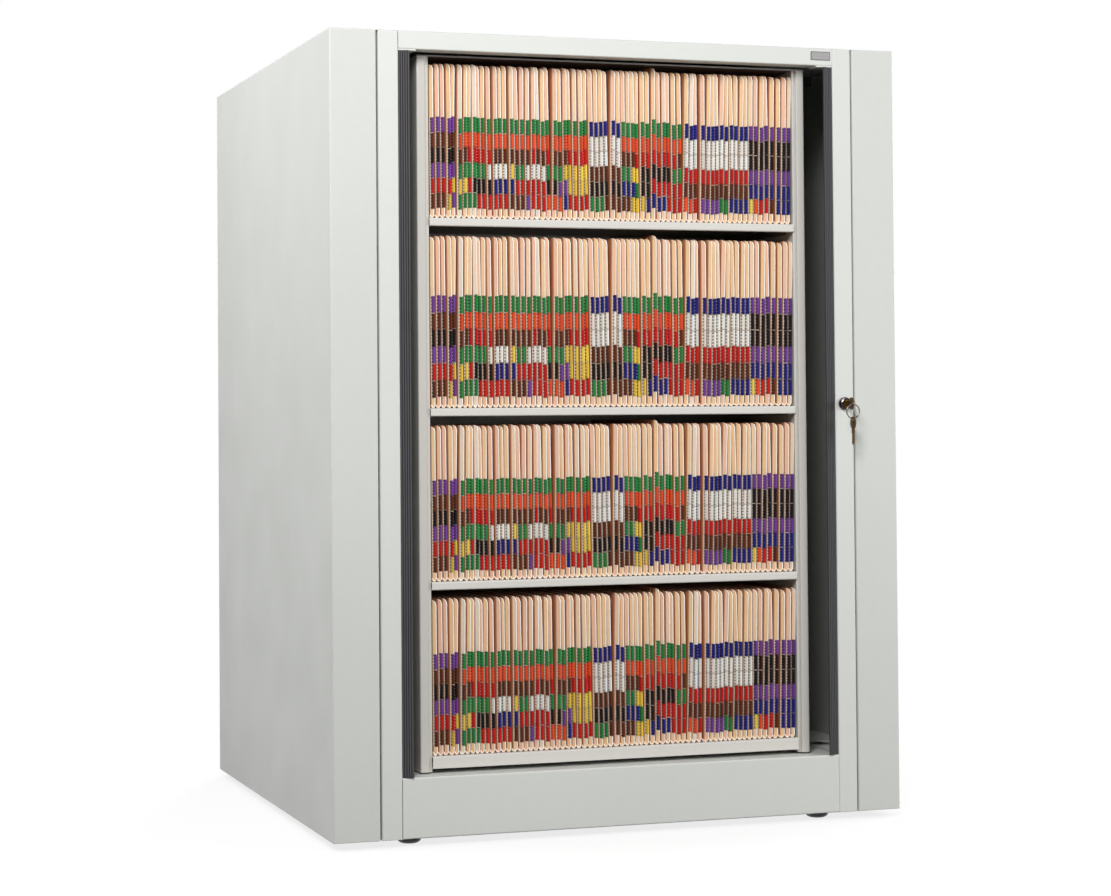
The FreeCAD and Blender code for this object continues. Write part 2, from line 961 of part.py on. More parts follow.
def lock_bar():
    # A head with the crank's slot, a flat stem down the post, and a foot that lifts the bolt.
    y_range = (bar_front(), bar_back())
    low_x, slot_level = crank_spot(0)
    high_x = lock_x + crank_radius
    half = bar_width / 2
    play = crank_pin_radius + crank_pin_play
    head = box(
        (lock_x - half, high_x + play + bar_head_margin),
        y_range,
        (slot_level - bar_head_height / 2, slot_level + bar_head_height / 2),
    )
    foot_top = rail_top - frame_sheet - bar_foot_drop
    stem = box((lock_x - half, lock_x + half), y_range, (foot_top - bar_sheet, slot_level))
    slot = box((low_x - play, high_x + play), y_range, (slot_level - play, slot_level + play))
    run_x = bolt_offset - lock_x
    run_y = bolt_y - (bar_front() + bar_back()) / 2
    length = math.hypot(run_x, run_y)
    side = bolt_boss
    middle_y = (bar_front() + bar_back()) / 2
    across = (-run_y / length * side, run_x / length * side)
    foot = prism(
        "xy",
        [
            (lock_x + half - across[0], middle_y - across[1] - 1),
            (bolt_offset - across[0], bolt_y - across[1]),
            (bolt_offset + across[0], bolt_y + across[1]),
            (lock_x + half + across[0], middle_y + across[1] - 1),
        ],
        foot_top - bar_sheet,
        foot_top,
    )
    boss = rod(side, (bolt_offset, bolt_y, foot_top - bar_sheet), (0, 0, 1), bar_sheet)
    bolt_top = plinth_top - bolt_recess
    bolt = rod(bolt_radius, (bolt_offset, bolt_y, foot_top), (0, 0, 1), bolt_top - foot_top)
    return head.fuse([stem, foot, boss, bolt]).cut(slot).removeSplitter()


def lock_bar_guides():
    # Folded straps behind the bar, from the post's inner lip to its joint flange.
    left = lock_x - bar_width / 2 - bar_play
    right = lock_x + bar_width / 2 + bar_play
    back = bar_back() + guide_clearance
    lip = front + post_depth
    flange = front + joint_depth + skin
    line = [
        (opening_half + guide_lap, lip),
        (left, lip),
        (left, back),
        (right, back),
        (right, flange),
        (return_inner + joint_flange - guide_lap, flange),
    ]
    straps = []
    for level in (guide_low, guide_high):
        straps.append(prism("xy", folded(line, guide_sheet, 0), level, level + guide_height))
    return Part.makeCompound(straps)


# Keys


def key_tip():
    return front + key_bow_y + key_bow_radius + key_neck + key_blade_length


def octagon(u, v):
    # The bow's outline, with flats to the front, back, top and bottom.
    side = key_bow_radius * math.tan(math.pi / 8)
    ring = []
    for cu, cv in ((1, side / key_bow_radius), (side / key_bow_radius, 1)):
        ring.append((cu * key_bow_radius, cv * key_bow_radius))
    ring += [(-cu, cv) for cu, cv in ring[::-1]]
    ring += [(cu, -cv) for cu, cv in ring[::-1]]
    return [(u + cu, v + cv) for cu, cv in ring]


def key_shape(bow_y, bow_z):
    # A key in the YZ plane, its bow centred on the given point and its blade towards +Y.
    level = lock_x - key_sheet / 2
    bow = prism("yz", octagon(bow_y, bow_z), level, level + key_sheet)
    neck_start = bow_y + key_bow_radius - key_neck_lap
    blade_start = bow_y + key_bow_radius + key_neck
    neck_half = key_neck_height / 2
    neck = box(
        (level, level + key_sheet),
        (neck_start, blade_start),
        (bow_z - neck_half, bow_z + neck_half),
    )
    half = key_blade_height / 2
    tip = blade_start + key_blade_length
    pitch = (key_blade_length - half) / (key_cuts + 1)
    corners = [(blade_start, bow_z - half), (tip - half, bow_z - half), (tip, bow_z)]
    corners.append((tip - half, bow_z + half))
    for cut in range(key_cuts, 0, -1):
        middle = blade_start + cut * pitch
        corners.append((middle + pitch / 2, bow_z + half))
        corners.append((middle, bow_z + half - key_cut_depth))
    corners.append((blade_start + pitch / 2, bow_z + half))
    corners.append((blade_start, bow_z + half))
    blade = prism("yz", corners, level, level + key_sheet)
    hole_y = bow_y - key_hole_offset
    hole = rod(key_hole_radius, (level - overcut, hole_y, bow_z), (1, 0, 0), key_sheet + 2 * overcut)
    return bow.fuse([neck, blade]).removeSplitter().cut(hole)


def door_key():
    return key_shape(front + key_bow_y, lock_height)


def ring_top():
    # The wire's centre where it hangs in the key's hole.
    level = lock_height - key_hole_radius + ring_wire + ring_hang
    return front + key_bow_y - key_hole_offset, level


def ring_bottom():
    return ring_top()[1] - 2 * ring_radius


def key_ring():
    y, top = ring_top()
    section = hexagon(ring_radius, 0, 2 * ring_wire)
    ring = revolved(section, 0, 0)
    ring.rotate(FreeCAD.Vector(0, 0, 0), FreeCAD.Vector(1, 0, 0), 90)
    ring.translate(FreeCAD.Vector(lock_x, y, top - ring_radius))
    return ring


def spare_key():
    # The same key turned blade down, hanging by its hole on the ring's lowest wire.
    y = ring_top()[0]
    hole_z = ring_bottom() + ring_wire + ring_hang - key_hole_radius
    key = key_shape(y, hole_z - key_hole_offset)
    pivot = FreeCAD.Vector(lock_x, y, hole_z - key_hole_offset)
    return key.rotate(pivot, FreeCAD.Vector(1, 0, 0), -90)


def all_pieces():
    right_panel = side_panel()
    right_end = end_panel()
    right_liner = end_liner()
    right_seal = seal_strip()
    right_rail = side_rail()
    pieces = {
        "left_side_panel": mirrored(right_panel),
        "right_side_panel": right_panel,
        "left_front_post": mirrored(front_post()),
        "right_front_post": right_front_post(),
        "front_header": front_header(),
        "front_plinth": front_plinth(),
        "top_panel": top_panel(),
        "rear_panel": rear_panel(),
        "rear_panel_screws": rear_panel_screws(),
        "top_cross_beam": top_cross_beam(),
        "upper_pivot_pin": upper_pivot_pin(),
        "front_rail": front_rail(),
        "rear_rail": rear_rail(),
        "left_base_rail": mirrored(right_rail),
        "right_base_rail": right_rail,
        "base_deck": base_deck(),
        "deck_beams": deck_beams(),
        "foot_nuts": foot_nuts(),
        "lower_bearing_race": lower_bearing_race(),
        "bearing_rollers": bearing_rollers(),
        "roller_cage": roller_cage(),
        "lower_pivot_pin": lower_pivot_pin(),
        "turntable_plate": turntable_plate(),
        "base_channels": base_channels(),
        "left_end_panel": mirrored(right_end),
        "right_end_panel": right_end,
        "left_end_liner": mirrored(right_liner),
        "right_end_liner": right_liner,
        "carousel_base": carousel_base(),
        "centre_panel": centre_panel(),
        "shelf_brackets": shelf_brackets(),
        "carousel_top": carousel_top(),
        "upper_bushing": upper_bushing(),
        "left_seal_strip": mirrored(right_seal),
        "right_seal_strip": right_seal,
        "seal_retainers": seal_retainers(),
        "lock_housing": lock_housing(),
        "lock_nut": lock_nut(),
        "lock_plug": lock_plug(),
        "lock_cam": lock_cam(),
        "lock_bar": lock_bar(),
        "lock_bar_guides": lock_bar_guides(),
        "door_key": door_key(),
        "key_ring": key_ring(),
        "spare_key": spare_key(),
        "foot_front_left": levelling_foot(-foot_x, foot_front_y),
        "foot_front_right": levelling_foot(foot_x, foot_front_y),
        "foot_rear_left": levelling_foot(-foot_x, foot_rear_y),
        "foot_rear_right": levelling_foot(foot_x, foot_rear_y),
    }
    for number, level in enumerate(shelf_tops, 1):
        pieces[f"front_shelf_{number}"] = shelf(level, -1)
        pieces[f"rear_shelf_{number}"] = shelf(level, 1)
    tiers = zip((base_top,) + shelf_tops, (folder_height, folder_height, tall_folder_height, folder_height))
    for number, (level, height) in enumerate(tiers, 1):
        pieces[f"folders_tier_{number}"] = folders(level, height)
    return pieces


os.makedirs("parts", exist_ok=True)
for name, shape in all_pieces().items():
    shape.exportStep(f"parts/{name}.step")
print("casing", 2 * case_half, case_depth, case_top)
print("front", front, "rear", rear, "axis", axis_y, "key reach", key_reach, "swing", swing_radius)
print("lock", lock_x, lock_height, "bolt travel", crank_travel, "ring", ring_top(), ring_bottom())
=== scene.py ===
import json
import math

import bpy
import numpy as np
from mathutils import Matrix, Vector


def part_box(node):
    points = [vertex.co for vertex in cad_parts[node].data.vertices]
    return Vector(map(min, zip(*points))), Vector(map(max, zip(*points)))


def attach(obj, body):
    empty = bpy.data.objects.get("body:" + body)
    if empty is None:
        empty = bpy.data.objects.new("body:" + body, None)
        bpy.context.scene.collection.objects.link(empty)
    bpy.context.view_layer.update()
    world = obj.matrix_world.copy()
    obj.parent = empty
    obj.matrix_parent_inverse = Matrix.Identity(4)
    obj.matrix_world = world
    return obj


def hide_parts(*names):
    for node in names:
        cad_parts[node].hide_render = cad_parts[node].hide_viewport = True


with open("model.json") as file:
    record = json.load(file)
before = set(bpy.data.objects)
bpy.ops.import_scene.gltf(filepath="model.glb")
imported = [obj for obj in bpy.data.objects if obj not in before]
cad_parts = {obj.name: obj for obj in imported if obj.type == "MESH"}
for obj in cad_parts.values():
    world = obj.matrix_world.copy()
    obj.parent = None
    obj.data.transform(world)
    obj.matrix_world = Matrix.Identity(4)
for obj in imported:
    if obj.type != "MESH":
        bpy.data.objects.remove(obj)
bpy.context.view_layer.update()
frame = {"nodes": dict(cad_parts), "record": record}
record = frame["record"]
print("frame loaded:", len(frame["nodes"]), "nodes")


# Mesh helpers

def addMesh(name, points, faces, material, body, smooth=False):
    # Puts points (metres) and faces into an object at the origin that rides on a body.
    mesh = bpy.data.meshes.new(name)
    mesh.from_pydata(np.asarray(points).tolist(), [], [list(face) for face in faces])
    mesh.polygons.foreach_set("use_smooth", [smooth] * len(mesh.polygons))
    mesh.materials.append(material)
    mesh.update()
    piece = bpy.data.objects.new(name, mesh)
    bpy.context.scene.collection.objects.link(piece)
    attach(piece, body)
    return piece


def tubeFaces(stations, around, closedEnds=True):
    # Quads between neighbouring rings of a grid whose rings close on themselves, plus two ends.
    row, column = np.meshgrid(np.arange(stations - 1), np.arange(around), indexing="ij")
    following = (column + 1) % around
    quads = np.stack([row * around + column, row * around + following,
                      (row + 1) * around + following, (row + 1) * around + column], axis=-1)
    faces = quads.reshape(-1, 4).tolist()
    if closedEnds:
        faces.append(list(range(around - 1, -1, -1)))
        faces.append(list(range((stations - 1) * around, stations * around)))
    return faces


def outward(points, faces):
    # Turns all faces over where the enclosed volume (sum of a.(b x c)/6) comes out negative.
    points = np.asarray(points)
    volume = 0.0
    for face in faces:
        corner = points[list(face)]
        volume += np.einsum("ij,ij->i", np.cross(corner[1:-1], corner[2:]),
                            np.broadcast_to(corner[0], corner[2:].shape)).sum()
    return faces if volume > 0 else [list(face)[::-1] for face in faces]


def turnedShape(profile, around):
    # A profile (radius, height) carried round the Z axis: x = r cos t, y = r sin t, z = h.
    profile = np.asarray(profile, dtype=float)
    turn = np.linspace(0, 2 * np.pi, around, endpoint=False)
    radius = profile[:, :1]
    rings = np.stack([radius * np.cos(turn), radius * np.sin(turn),
                      np.broadcast_to(profile[:, 1:], (len(profile), around))], axis=-1)
    return rings.reshape(-1, 3)


def flatPlate(outline, holes, thickness, edge):
    # A plate from an outline (u, v) with holes: a filled flat curve with a rounded edge.
    curve = bpy.data.curves.new("plateOutline", "CURVE")
    curve.dimensions = "2D"
    curve.fill_mode = "BOTH"
    curve.extrude = thickness / 2 - edge
    curve.bevel_depth = edge
    curve.bevel_resolution = 2
    curve.offset = -edge
    for loop in [outline] + list(holes):
        spline = curve.splines.new("POLY")
        spline.points.add(len(loop) - 1)
        flat = np.zeros((len(loop), 4))
        flat[:, :2] = loop
        flat[:, 3] = 1
        spline.points.foreach_set("co", flat.ravel())
        spline.use_cyclic_u = True
    holder = bpy.data.objects.new("plateOutline", curve)
    mesh = bpy.data.meshes.new_from_object(holder)
    points = np.empty(len(mesh.vertices) * 3)
    mesh.vertices.foreach_get("co", points)
    faces = [list(polygon.vertices) for polygon in mesh.polygons]
    bpy.data.objects.remove(holder)
    bpy.data.curves.remove(curve)
    bpy.data.meshes.remove(mesh)
    return points.reshape(-1, 3), faces


# Materials

def blankMaterial(name):
    # A material with one Principled shader on its output.
    material = bpy.data.materials.new(name)
    material.use_nodes = True
    tree = material.node_tree
    tree.nodes.clear()
    shader = tree.nodes.new("ShaderNodeBsdfPrincipled")
    output = tree.nodes.new("ShaderNodeOutputMaterial")
    tree.links.new(shader.outputs["BSDF"], output.inputs["Surface"])
    return material, tree, shader


def objectPlace(tree):
    return tree.nodes.new("ShaderNodeTexCoord").outputs["Object"]


def surfaceFacing(tree, kind):
    # The surface's own direction; kind is Normal or True Normal.
    return tree.nodes.new("ShaderNodeNewGeometry").outputs[kind]


def storedValue(tree, name, output):
    # A colour or vector that is kept on the mesh under this name.
    stored = tree.nodes.new("ShaderNodeAttribute")
    stored.attribute_name = name
    return stored.outputs[output]


def axesOf(tree, vector):
    # The X, Y and Z of a vector.
    split = tree.nodes.new("ShaderNodeSeparateXYZ")
    tree.links.new(vector, split.inputs[0])
    return [split.outputs[axis] for axis in "XYZ"]


def noise(tree, scale, detail=3.0, stretch=(1, 1, 1)):
    # Noise on object coordinates; scale is in features per metre.
    mapping = tree.nodes.new("ShaderNodeMapping")
    mapping.inputs["Scale"].default_value = stretch
    pattern = tree.nodes.new("ShaderNodeTexNoise")
    pattern.inputs["Scale"].default_value = scale
    pattern.inputs["Detail"].default_value = detail
    tree.links.new(objectPlace(tree), mapping.inputs["Vector"])
    tree.links.new(mapping.outputs["Vector"], pattern.inputs["Vector"])
    return pattern.outputs["Fac"]


noiseSpan = (0.3, 0.7)  # noise hardly leaves this span


def feed(tree, socket, value):
    # A socket takes either another socket's output or a plain value.
    if isinstance(value, bpy.types.NodeSocket):
        tree.links.new(value, socket)
    elif value is not None:
        socket.default_value = value


def remap(tree, value, fromLow, fromHigh, toLow, toHigh):
    # A straight line from one span to another, held at both ends.
    ranger = tree.nodes.new("ShaderNodeMapRange")
    for index, number in enumerate((fromLow, fromHigh, toLow, toHigh)):
        ranger.inputs[index + 1].default_value = number
    tree.links.new(value, ranger.inputs["Value"])
    return ranger.outputs["Result"]


def blendColours(tree, share, first, second, mode="MIX"):
    # first and second are sockets or plain colours.
    mixer = tree.nodes.new("ShaderNodeMix")
    mixer.data_type = "RGBA"
    mixer.blend_type = mode
    shareInput, firstInput, secondInput = mixer.inputs[0], mixer.inputs[6], mixer.inputs[7]
    for socket, value in ((shareInput, share), (firstInput, first), (secondInput, second)):
        feed(tree, socket, (*value, 1.0) if isinstance(value, tuple) else value)
    return mixer.outputs[2]


def calculate(tree, operation, first, second=None, third=None):
    # One step of arithmetic on sockets or plain numbers.
    step = tree.nodes.new("ShaderNodeMath")
    step.operation = operation
    for socket, value in zip(step.inputs, (first, second, third)):
        feed(tree, socket, value)
    return step.outputs[0]


def product(tree, *factors):
    # Masks and values multiplied with one another, from left to right.
    result = factors[0]
    for factor in factors[1:]:
        result = calculate(tree, "MULTIPLY", result, factor)
    return result


def weighted(tree, first, firstShare, second, secondShare):
    # Two patterns added by their shares.
    return calculate(tree, "MULTIPLY_ADD", first, firstShare, calculate(tree, "MULTIPLY", second, secondShare))


def alignment(tree, first, second):
    # How far two directions agree: their dot product, 1 where they are the same.
    dot = tree.nodes.new("ShaderNodeVectorMath")
    dot.operation = "DOT_PRODUCT"
    feed(tree, dot.inputs[0], first)
    feed(tree, dot.inputs[1], second)
    return dot.outputs["Value"]


def bump(tree, shader, height, distance):
    # Surface relief of the given height in metres.
    node = tree.nodes.new("ShaderNodeBump")
    node.inputs["Distance"].default_value = distance
    node.inputs["Strength"].default_value = 1.0
    tree.links.new(height, node.inputs["Height"])
    tree.links.new(node.outputs["Normal"], shader.inputs["Normal"])
    return node


def coat(tree, shader, tint, gloss):
    # The colour and roughness of a finish.
    feed(tree, shader.inputs["Base Color"], tint)
    feed(tree, shader.inputs["Roughness"], gloss)


def linearColour(red, green, blue):
    # A screen colour 0..255 as the linear value that renders back to it.
    values = np.array([red, green, blue]) / 255
    return tuple(np.where(values <= 0.04045, values / 12.92, ((values + 0.055) / 1.055) ** 2.4))


paint = {"peelScale": 520.0, "peelHeight": 0.00006, "mottleScale": 2.2, "mottleDepth": 0.05,
         "speckScale": 60.0, "cloudShare": 0.7, "speckShare": 0.3, "glossScale": 9,
         "roughness": (0.34, 0.46), "bend": 0.002, "bendFacing": (0.995, 0.88), "bendHighlightShare": 0.8,
         "bendHighlightTone": 0.97, "bendHighlightLift": 0.8,
         "inside": (0.455, 0.4664), "front": -0.4134, "insideShadeTone": (0.012, 0.011, 0.010)}


def insideMask(tree):
    # 1 on the inner face of a side panel, where painted shade goes: |X| within the inside span and Y behind
    # the front.
    sideways, depth = axesOf(tree, objectPlace(tree))[:2]
    across = calculate(tree, "ABSOLUTE", sideways)
    return product(tree, calculate(tree, "GREATER_THAN", across, paint["inside"][0]),
                   calculate(tree, "LESS_THAN", across, paint["inside"][1]),
                   calculate(tree, "GREATER_THAN", depth, paint["front"]))


def bakedPaint(name, colour, shadedInside=False):
    # Baked enamel on sheet steel: orange-peel bump, faint cloudy tint, uneven gloss, rounded bends with a
    # painted highlight along them, and painted shade on a side panel's inner face when asked.
    material, tree, shader = blankMaterial(name)
    cloud = noise(tree, paint["mottleScale"], 4)
    fine = noise(tree, paint["speckScale"], 2)
    base = np.array(linearColour(*colour))
    share = weighted(tree, cloud, paint["cloudShare"], fine, paint["speckShare"])
    tint = blendColours(tree, remap(tree, share, *noiseSpan, 0, 1), tuple(base),
                        tuple(base * (1 - paint["mottleDepth"])))
    # Painted shade: the inner face of a side panel turns nearly black, as if in shadow.
    if shadedInside:
        tint = blendColours(tree, insideMask(tree), tint, paint["insideShadeTone"])
    # A bend is where the rounded normal leaves the flat one: there the colour is lifted toward pale, a painted
    # highlight along the bend.
    rounded = tree.nodes.new("ShaderNodeBevel")
    rounded.samples = 4
    rounded.inputs["Radius"].default_value = paint["bend"]
    facing = alignment(tree, rounded.outputs["Normal"], surfaceFacing(tree, "True Normal"))
    bendHighlight = remap(tree, facing, *paint["bendFacing"], 0, paint["bendHighlightShare"])
    tint = blendColours(tree, bendHighlight, tint, tuple(base + (paint["bendHighlightTone"] - base) * paint["bendHighlightLift"]))
    coat(tree, shader, tint, remap(tree, noise(tree, paint["glossScale"], 4), *noiseSpan, *paint["roughness"]))
    grain = bump(tree, shader, noise(tree, paint["peelScale"], 1), paint["peelHeight"])
    tree.links.new(rounded.outputs["Normal"], grain.inputs["Normal"])
    return material


plating = {"scale": 900, "span": (0.25, 0.75), "dark": 0.82, "smooth": 0.8, "rough": 1.25, "relief": 0.00003}


def platedSteel(name, colour, roughness, brush=(1, 1, 1), metallic=1.0):
    # Plated or bare steel: fine stretched streaks in tint and gloss.
    material, tree, shader = blankMaterial(name)
    streak = noise(tree, plating["scale"], 3, brush)
    base = np.array(linearColour(*colour))
    tint = blendColours(tree, remap(tree, streak, *plating["span"], 0, 1), tuple(base),
                        tuple(base * plating["dark"]))
    gloss = remap(tree, streak, *plating["span"], roughness * plating["smooth"], roughness * plating["rough"])
    coat(tree, shader, tint, gloss)
    shader.inputs["Metallic"].default_value = metallic
    bump(tree, shader, streak, plating["relief"])
    return material


chrome = {"highlightSide": (-0.58, -0.62, 0.53), "facing": (0.90, 0.985), "dark": (66, 56, 60),
          "pale": (236, 226, 240), "scale": 300, "roughness": (0.10, 0.18)}


def bezelChrome(name):
    # Dark chrome with a painted reflection: a pale highlight painted on the flank that faces up, left and
    # forward, the rest nearly black.
    material, tree, shader = blankMaterial(name)
    # Painted reflection: the colour turns pale where the normal faces the highlight side.
    facing = alignment(tree, surfaceFacing(tree, "Normal"), chrome["highlightSide"])
    highlightShare = remap(tree, facing, *chrome["facing"], 0, 1)
    tint = blendColours(tree, highlightShare, linearColour(*chrome["dark"]), linearColour(*chrome["pale"]))
    coat(tree, shader, tint, remap(tree, noise(tree, chrome["scale"], 3), *noiseSpan, *chrome["roughness"]))
    shader.inputs["Metallic"].default_value = 1.0
    return material


plastic = {"driftScale": 25, "dark": 0.88, "smooth": 0.9, "rough": 1.15, "grainScale": 1400.0,
           "grainHeight": 0.00005}


def mouldedPlastic(name, colour, roughness):
    # Moulded plastic: a fine spark-eroded grain and a slight tint drift.
    material, tree, shader = blankMaterial(name)
    drift = noise(tree, plastic["driftScale"], 3)
    base = np.array(linearColour(*colour))
    tint = blendColours(tree, remap(tree, drift, *noiseSpan, 0, 1), tuple(base), tuple(base * plastic["dark"]))
    gloss = remap(tree, drift, *noiseSpan, roughness * plastic["smooth"], roughness * plastic["rough"])
    coat(tree, shader, tint, gloss)
    bump(tree, shader, noise(tree, plastic["grainScale"], 1), plastic["grainHeight"])
    return material


seal = {"base": 0.0035, "baseDepth": 0.020, "inset": 0.002, "reach": 0.0135, "forward": 0.003,
        "sheet": 0.0016, "rib": 0.0010, "ribs": 4, "front": -0.41534, "half": 0.361, "levels": 24,
        "wave": 0.00018, "waves": 21}
rubber = {"drawnScale": 700, "dustScale": 30, "drawnShare": 0.6, "dustShare": 0.4, "dark": (70, 69, 71),
          "pale": (84, 83, 85), "creaseShade": (0.15, 0.42), "creaseShadeDepth": 0.75,
          "creaseShadeTone": (0.008, 0.007, 0.009), "specular": 0.25, "roughness": (0.5, 0.68),
          "relief": 0.00008}


def sealRubber(name):
    # Extruded rubber: drawn streaks along Z, matt, with painted shade in the crease between two ribs.
    material, tree, shader = blankMaterial(name)
    drawn = noise(tree, rubber["drawnScale"], 2, (1, 1, 0.01))
    dust = noise(tree, rubber["dustScale"], 4)
    share = weighted(tree, drawn, rubber["drawnShare"], dust, rubber["dustShare"])
    tint = blendColours(tree, remap(tree, share, *noiseSpan, 0, 1), linearColour(*rubber["dark"]),
                        linearColour(*rubber["pale"]))
    # Painted shade: the colour darkens where a crease between two ribs lies, counted across X.
    sideways = calculate(tree, "ABSOLUTE", axesOf(tree, objectPlace(tree))[0])
    inward = calculate(tree, "SUBTRACT", seal["half"] - seal["base"], sideways)
    within = calculate(tree, "FRACT", calculate(tree, "MULTIPLY", inward, seal["ribs"] / seal["reach"]))
    creaseShade = calculate(tree, "ABSOLUTE", calculate(tree, "SUBTRACT", within, 0.5))
    shade = remap(tree, creaseShade, *rubber["creaseShade"], 0, rubber["creaseShadeDepth"])
    coat(tree, shader, blendColours(tree, shade, tint, rubber["creaseShadeTone"]),
         remap(tree, dust, *noiseSpan, *rubber["roughness"]))
    shader.inputs["Specular IOR Level"].default_value = rubber["specular"]
    bump(tree, shader, drawn, rubber["relief"])
    return material


manila = {"fibreScale": 900, "speckScale": 160, "fibreTone": (0.90, 0.86, 0.80), "fibreShare": 0.5,
          "speckSpan": (0.55, 0.75), "speckTone": (0.86, 0.76, 0.66), "speckShare": 0.3,
          "creviceShadeDepths": (-0.3725, -0.3703), "creviceShadeShare": 0.9, "creviceShadeTone": (0.36, 0.12, 0.04),
          "specular": 0.12, "roughness": (0.62, 0.8), "relief": 0.00006}


def folderCard(name):
    # Manila card: each folder's own tint, fibres, and painted shade: its left-facing sides turn dark brown
    # deep behind the tab's edge, where the crevice between folders lies.
    material, tree, shader = blankMaterial(name)
    tint = storedValue(tree, "cardTint", "Color")
    fibre = noise(tree, manila["fibreScale"], 3, (1, 1, 0.25))
    speck = noise(tree, manila["speckScale"], 4)
    grained = blendColours(tree, remap(tree, fibre, *noiseSpan, 0, manila["fibreShare"]), tint,
                           manila["fibreTone"], "MULTIPLY")
    grained = blendColours(tree, remap(tree, speck, *manila["speckSpan"], 0, manila["speckShare"]), grained,
                           manila["speckTone"], "MULTIPLY")
    # Painted shade in the crevices between folders, only on faces that look to the left.
    depth = remap(tree, axesOf(tree, objectPlace(tree))[1], *manila["creviceShadeDepths"], 0, manila["creviceShadeShare"])
    facesLeft = calculate(tree, "LESS_THAN", axesOf(tree, surfaceFacing(tree, "True Normal"))[0], 0.0)
    creviceShaded = blendColours(tree, product(tree, depth, facesLeft), grained, manila["creviceShadeTone"])
    coat(tree, shader, creviceShaded, remap(tree, fibre, *noiseSpan, *manila["roughness"]))
    shader.inputs["Specular IOR Level"].default_value = manila["specular"]
    bump(tree, shader, fibre, manila["relief"])
    return material


paper = {"scale": 2600, "span": (0.35, 0.65), "pale": (0.74, 0.72, 0.68), "dark": (0.45, 0.42, 0.38),
         "roughness": 0.85, "relief": 0.0001}


def folderPaper(name):
    # The sheets inside a folder: edges of single leaves as fine upright lines.
    material, tree, shader = blankMaterial(name)
    leaves = noise(tree, paper["scale"], 1, (1, 0.02, 0.02))
    tint = blendColours(tree, remap(tree, leaves, *paper["span"], 0, 1), paper["pale"], paper["dark"])
    coat(tree, shader, tint, paper["roughness"])
    bump(tree, shader, leaves, paper["relief"])
    return material


# Depths are millimetres behind the tab's edge, heights are shares of one label.
sticker = {"marks": 5.0, "markStart": (3.3, 3.7), "markEnd": 5.7, "markHalf": (0.25, 0.31),
           "markTone": (0.012, 0.008, 0.008), "margin": 4.6, "marginTone": (0.95, 0.89, 0.80),
           "edge": 0.475, "edgeShare": 0.6, "edgeTone": (0.05, 0.03, 0.03),
           "specular": 0.2, "glossScale": 200, "roughness": (0.45, 0.6)}


def labelPrint(name):
    # Printed label: solid colour over the tab's edge, a row of small dark marks, a pale margin.
    material, tree, shader = blankMaterial(name)
    ink = storedValue(tree, "labelInk", "Color")
    depth, height, seed = axesOf(tree, storedValue(tree, "labelSpot", "Vector"))
    # The label's height is cut into cells; each cell draws the size and start of its mark by chance.
    row = calculate(tree, "MULTIPLY", height, sticker["marks"])
    pair = tree.nodes.new("ShaderNodeCombineXYZ")
    tree.links.new(calculate(tree, "FLOOR", row), pair.inputs["X"])
    tree.links.new(seed, pair.inputs["Y"])
    draw = tree.nodes.new("ShaderNodeTexWhiteNoise")
    draw.noise_dimensions = "2D"
    tree.links.new(pair.outputs[0], draw.inputs["Vector"])
    chance = draw.outputs["Value"]
    offCentre = calculate(tree, "ABSOLUTE", calculate(tree, "SUBTRACT", calculate(tree, "FRACT", row), 0.5))
    marked = product(
        tree,
        calculate(tree, "LESS_THAN", offCentre, remap(tree, chance, 0.1, 0.9, *sticker["markHalf"])),
        calculate(tree, "GREATER_THAN", depth, remap(tree, chance, 0, 1, *sticker["markStart"])),
        calculate(tree, "LESS_THAN", depth, sticker["markEnd"]))
    margin = calculate(tree, "GREATER_THAN", depth, sticker["margin"])
    plain = blendColours(tree, margin, ink, sticker["marginTone"])
    inked = blendColours(tree, marked, plain, sticker["markTone"])
    # The label's upper and lower edges are darkened.
    fromMiddle = calculate(tree, "ABSOLUTE", calculate(tree, "SUBTRACT", height, 0.5))
    edge = calculate(tree, "GREATER_THAN", fromMiddle, sticker["edge"])
    dark = blendColours(tree, 1.0, ink, sticker["edgeTone"], "MULTIPLY")
    edgeDarkened = blendColours(tree, calculate(tree, "MULTIPLY", edge, sticker["edgeShare"]), inked, dark)
    gloss = remap(tree, noise(tree, sticker["glossScale"], 3), *noiseSpan, *sticker["roughness"])
    coat(tree, shader, edgeDarkened, gloss)
    shader.inputs["Specular IOR Level"].default_value = sticker["specular"]
    return material


finishes = {
    "casing_paint": bakedPaint("casingPaint", (215, 217, 212)),
    "carousel_paint": bakedPaint("carouselPaint", (213, 210, 204)),
    "frame_steel": bakedPaint("framePaint", (120, 121, 121)),
    "zinc_plate": platedSteel("zincPlate", (190, 192, 196), 0.34),
    "nylon": mouldedPlastic("nylon", (224, 220, 206), 0.5),
    "seal_rubber": sealRubber("sealRubber"),
    "lock_chrome": bezelChrome("darkChrome"),
    "key_brass": platedSteel("keyBrass", (124, 98, 62), 0.26, (1, 0.1, 1)),
    "ring_steel": platedSteel("ringSteel", (120, 114, 112), 0.22),
    "foot_black": mouldedPlastic("footPlastic", (20, 20, 22), 0.32),
    "folder_card": folderCard("folderCard"),
}
extras = {
    # The side panels carry painted shade on their inner face.
    "sidePaint": bakedPaint("sidePanelPaint", (208, 210, 205), True),
    # The end panels: the carousel paint in a darker copy, painted shade.
    "shadedUprightPaint": bakedPaint("shadedUprightPaint", (197, 194, 187)),
    # The carousel roof: dark brown, painted shade under the header.
    "shadedRoofPaint": bakedPaint("shadedRoofPaint", (70, 60, 54)),
    "paper": folderPaper("folderPaper"),
    "label": labelPrint("labelPrint"),
    "badge": platedSteel("badgeFace", (166, 164, 165), 0.4, (0.05, 1, 1), 0.15),
    "badgeEdge": mouldedPlastic("badgeEdge", (48, 48, 50), 0.4),
}
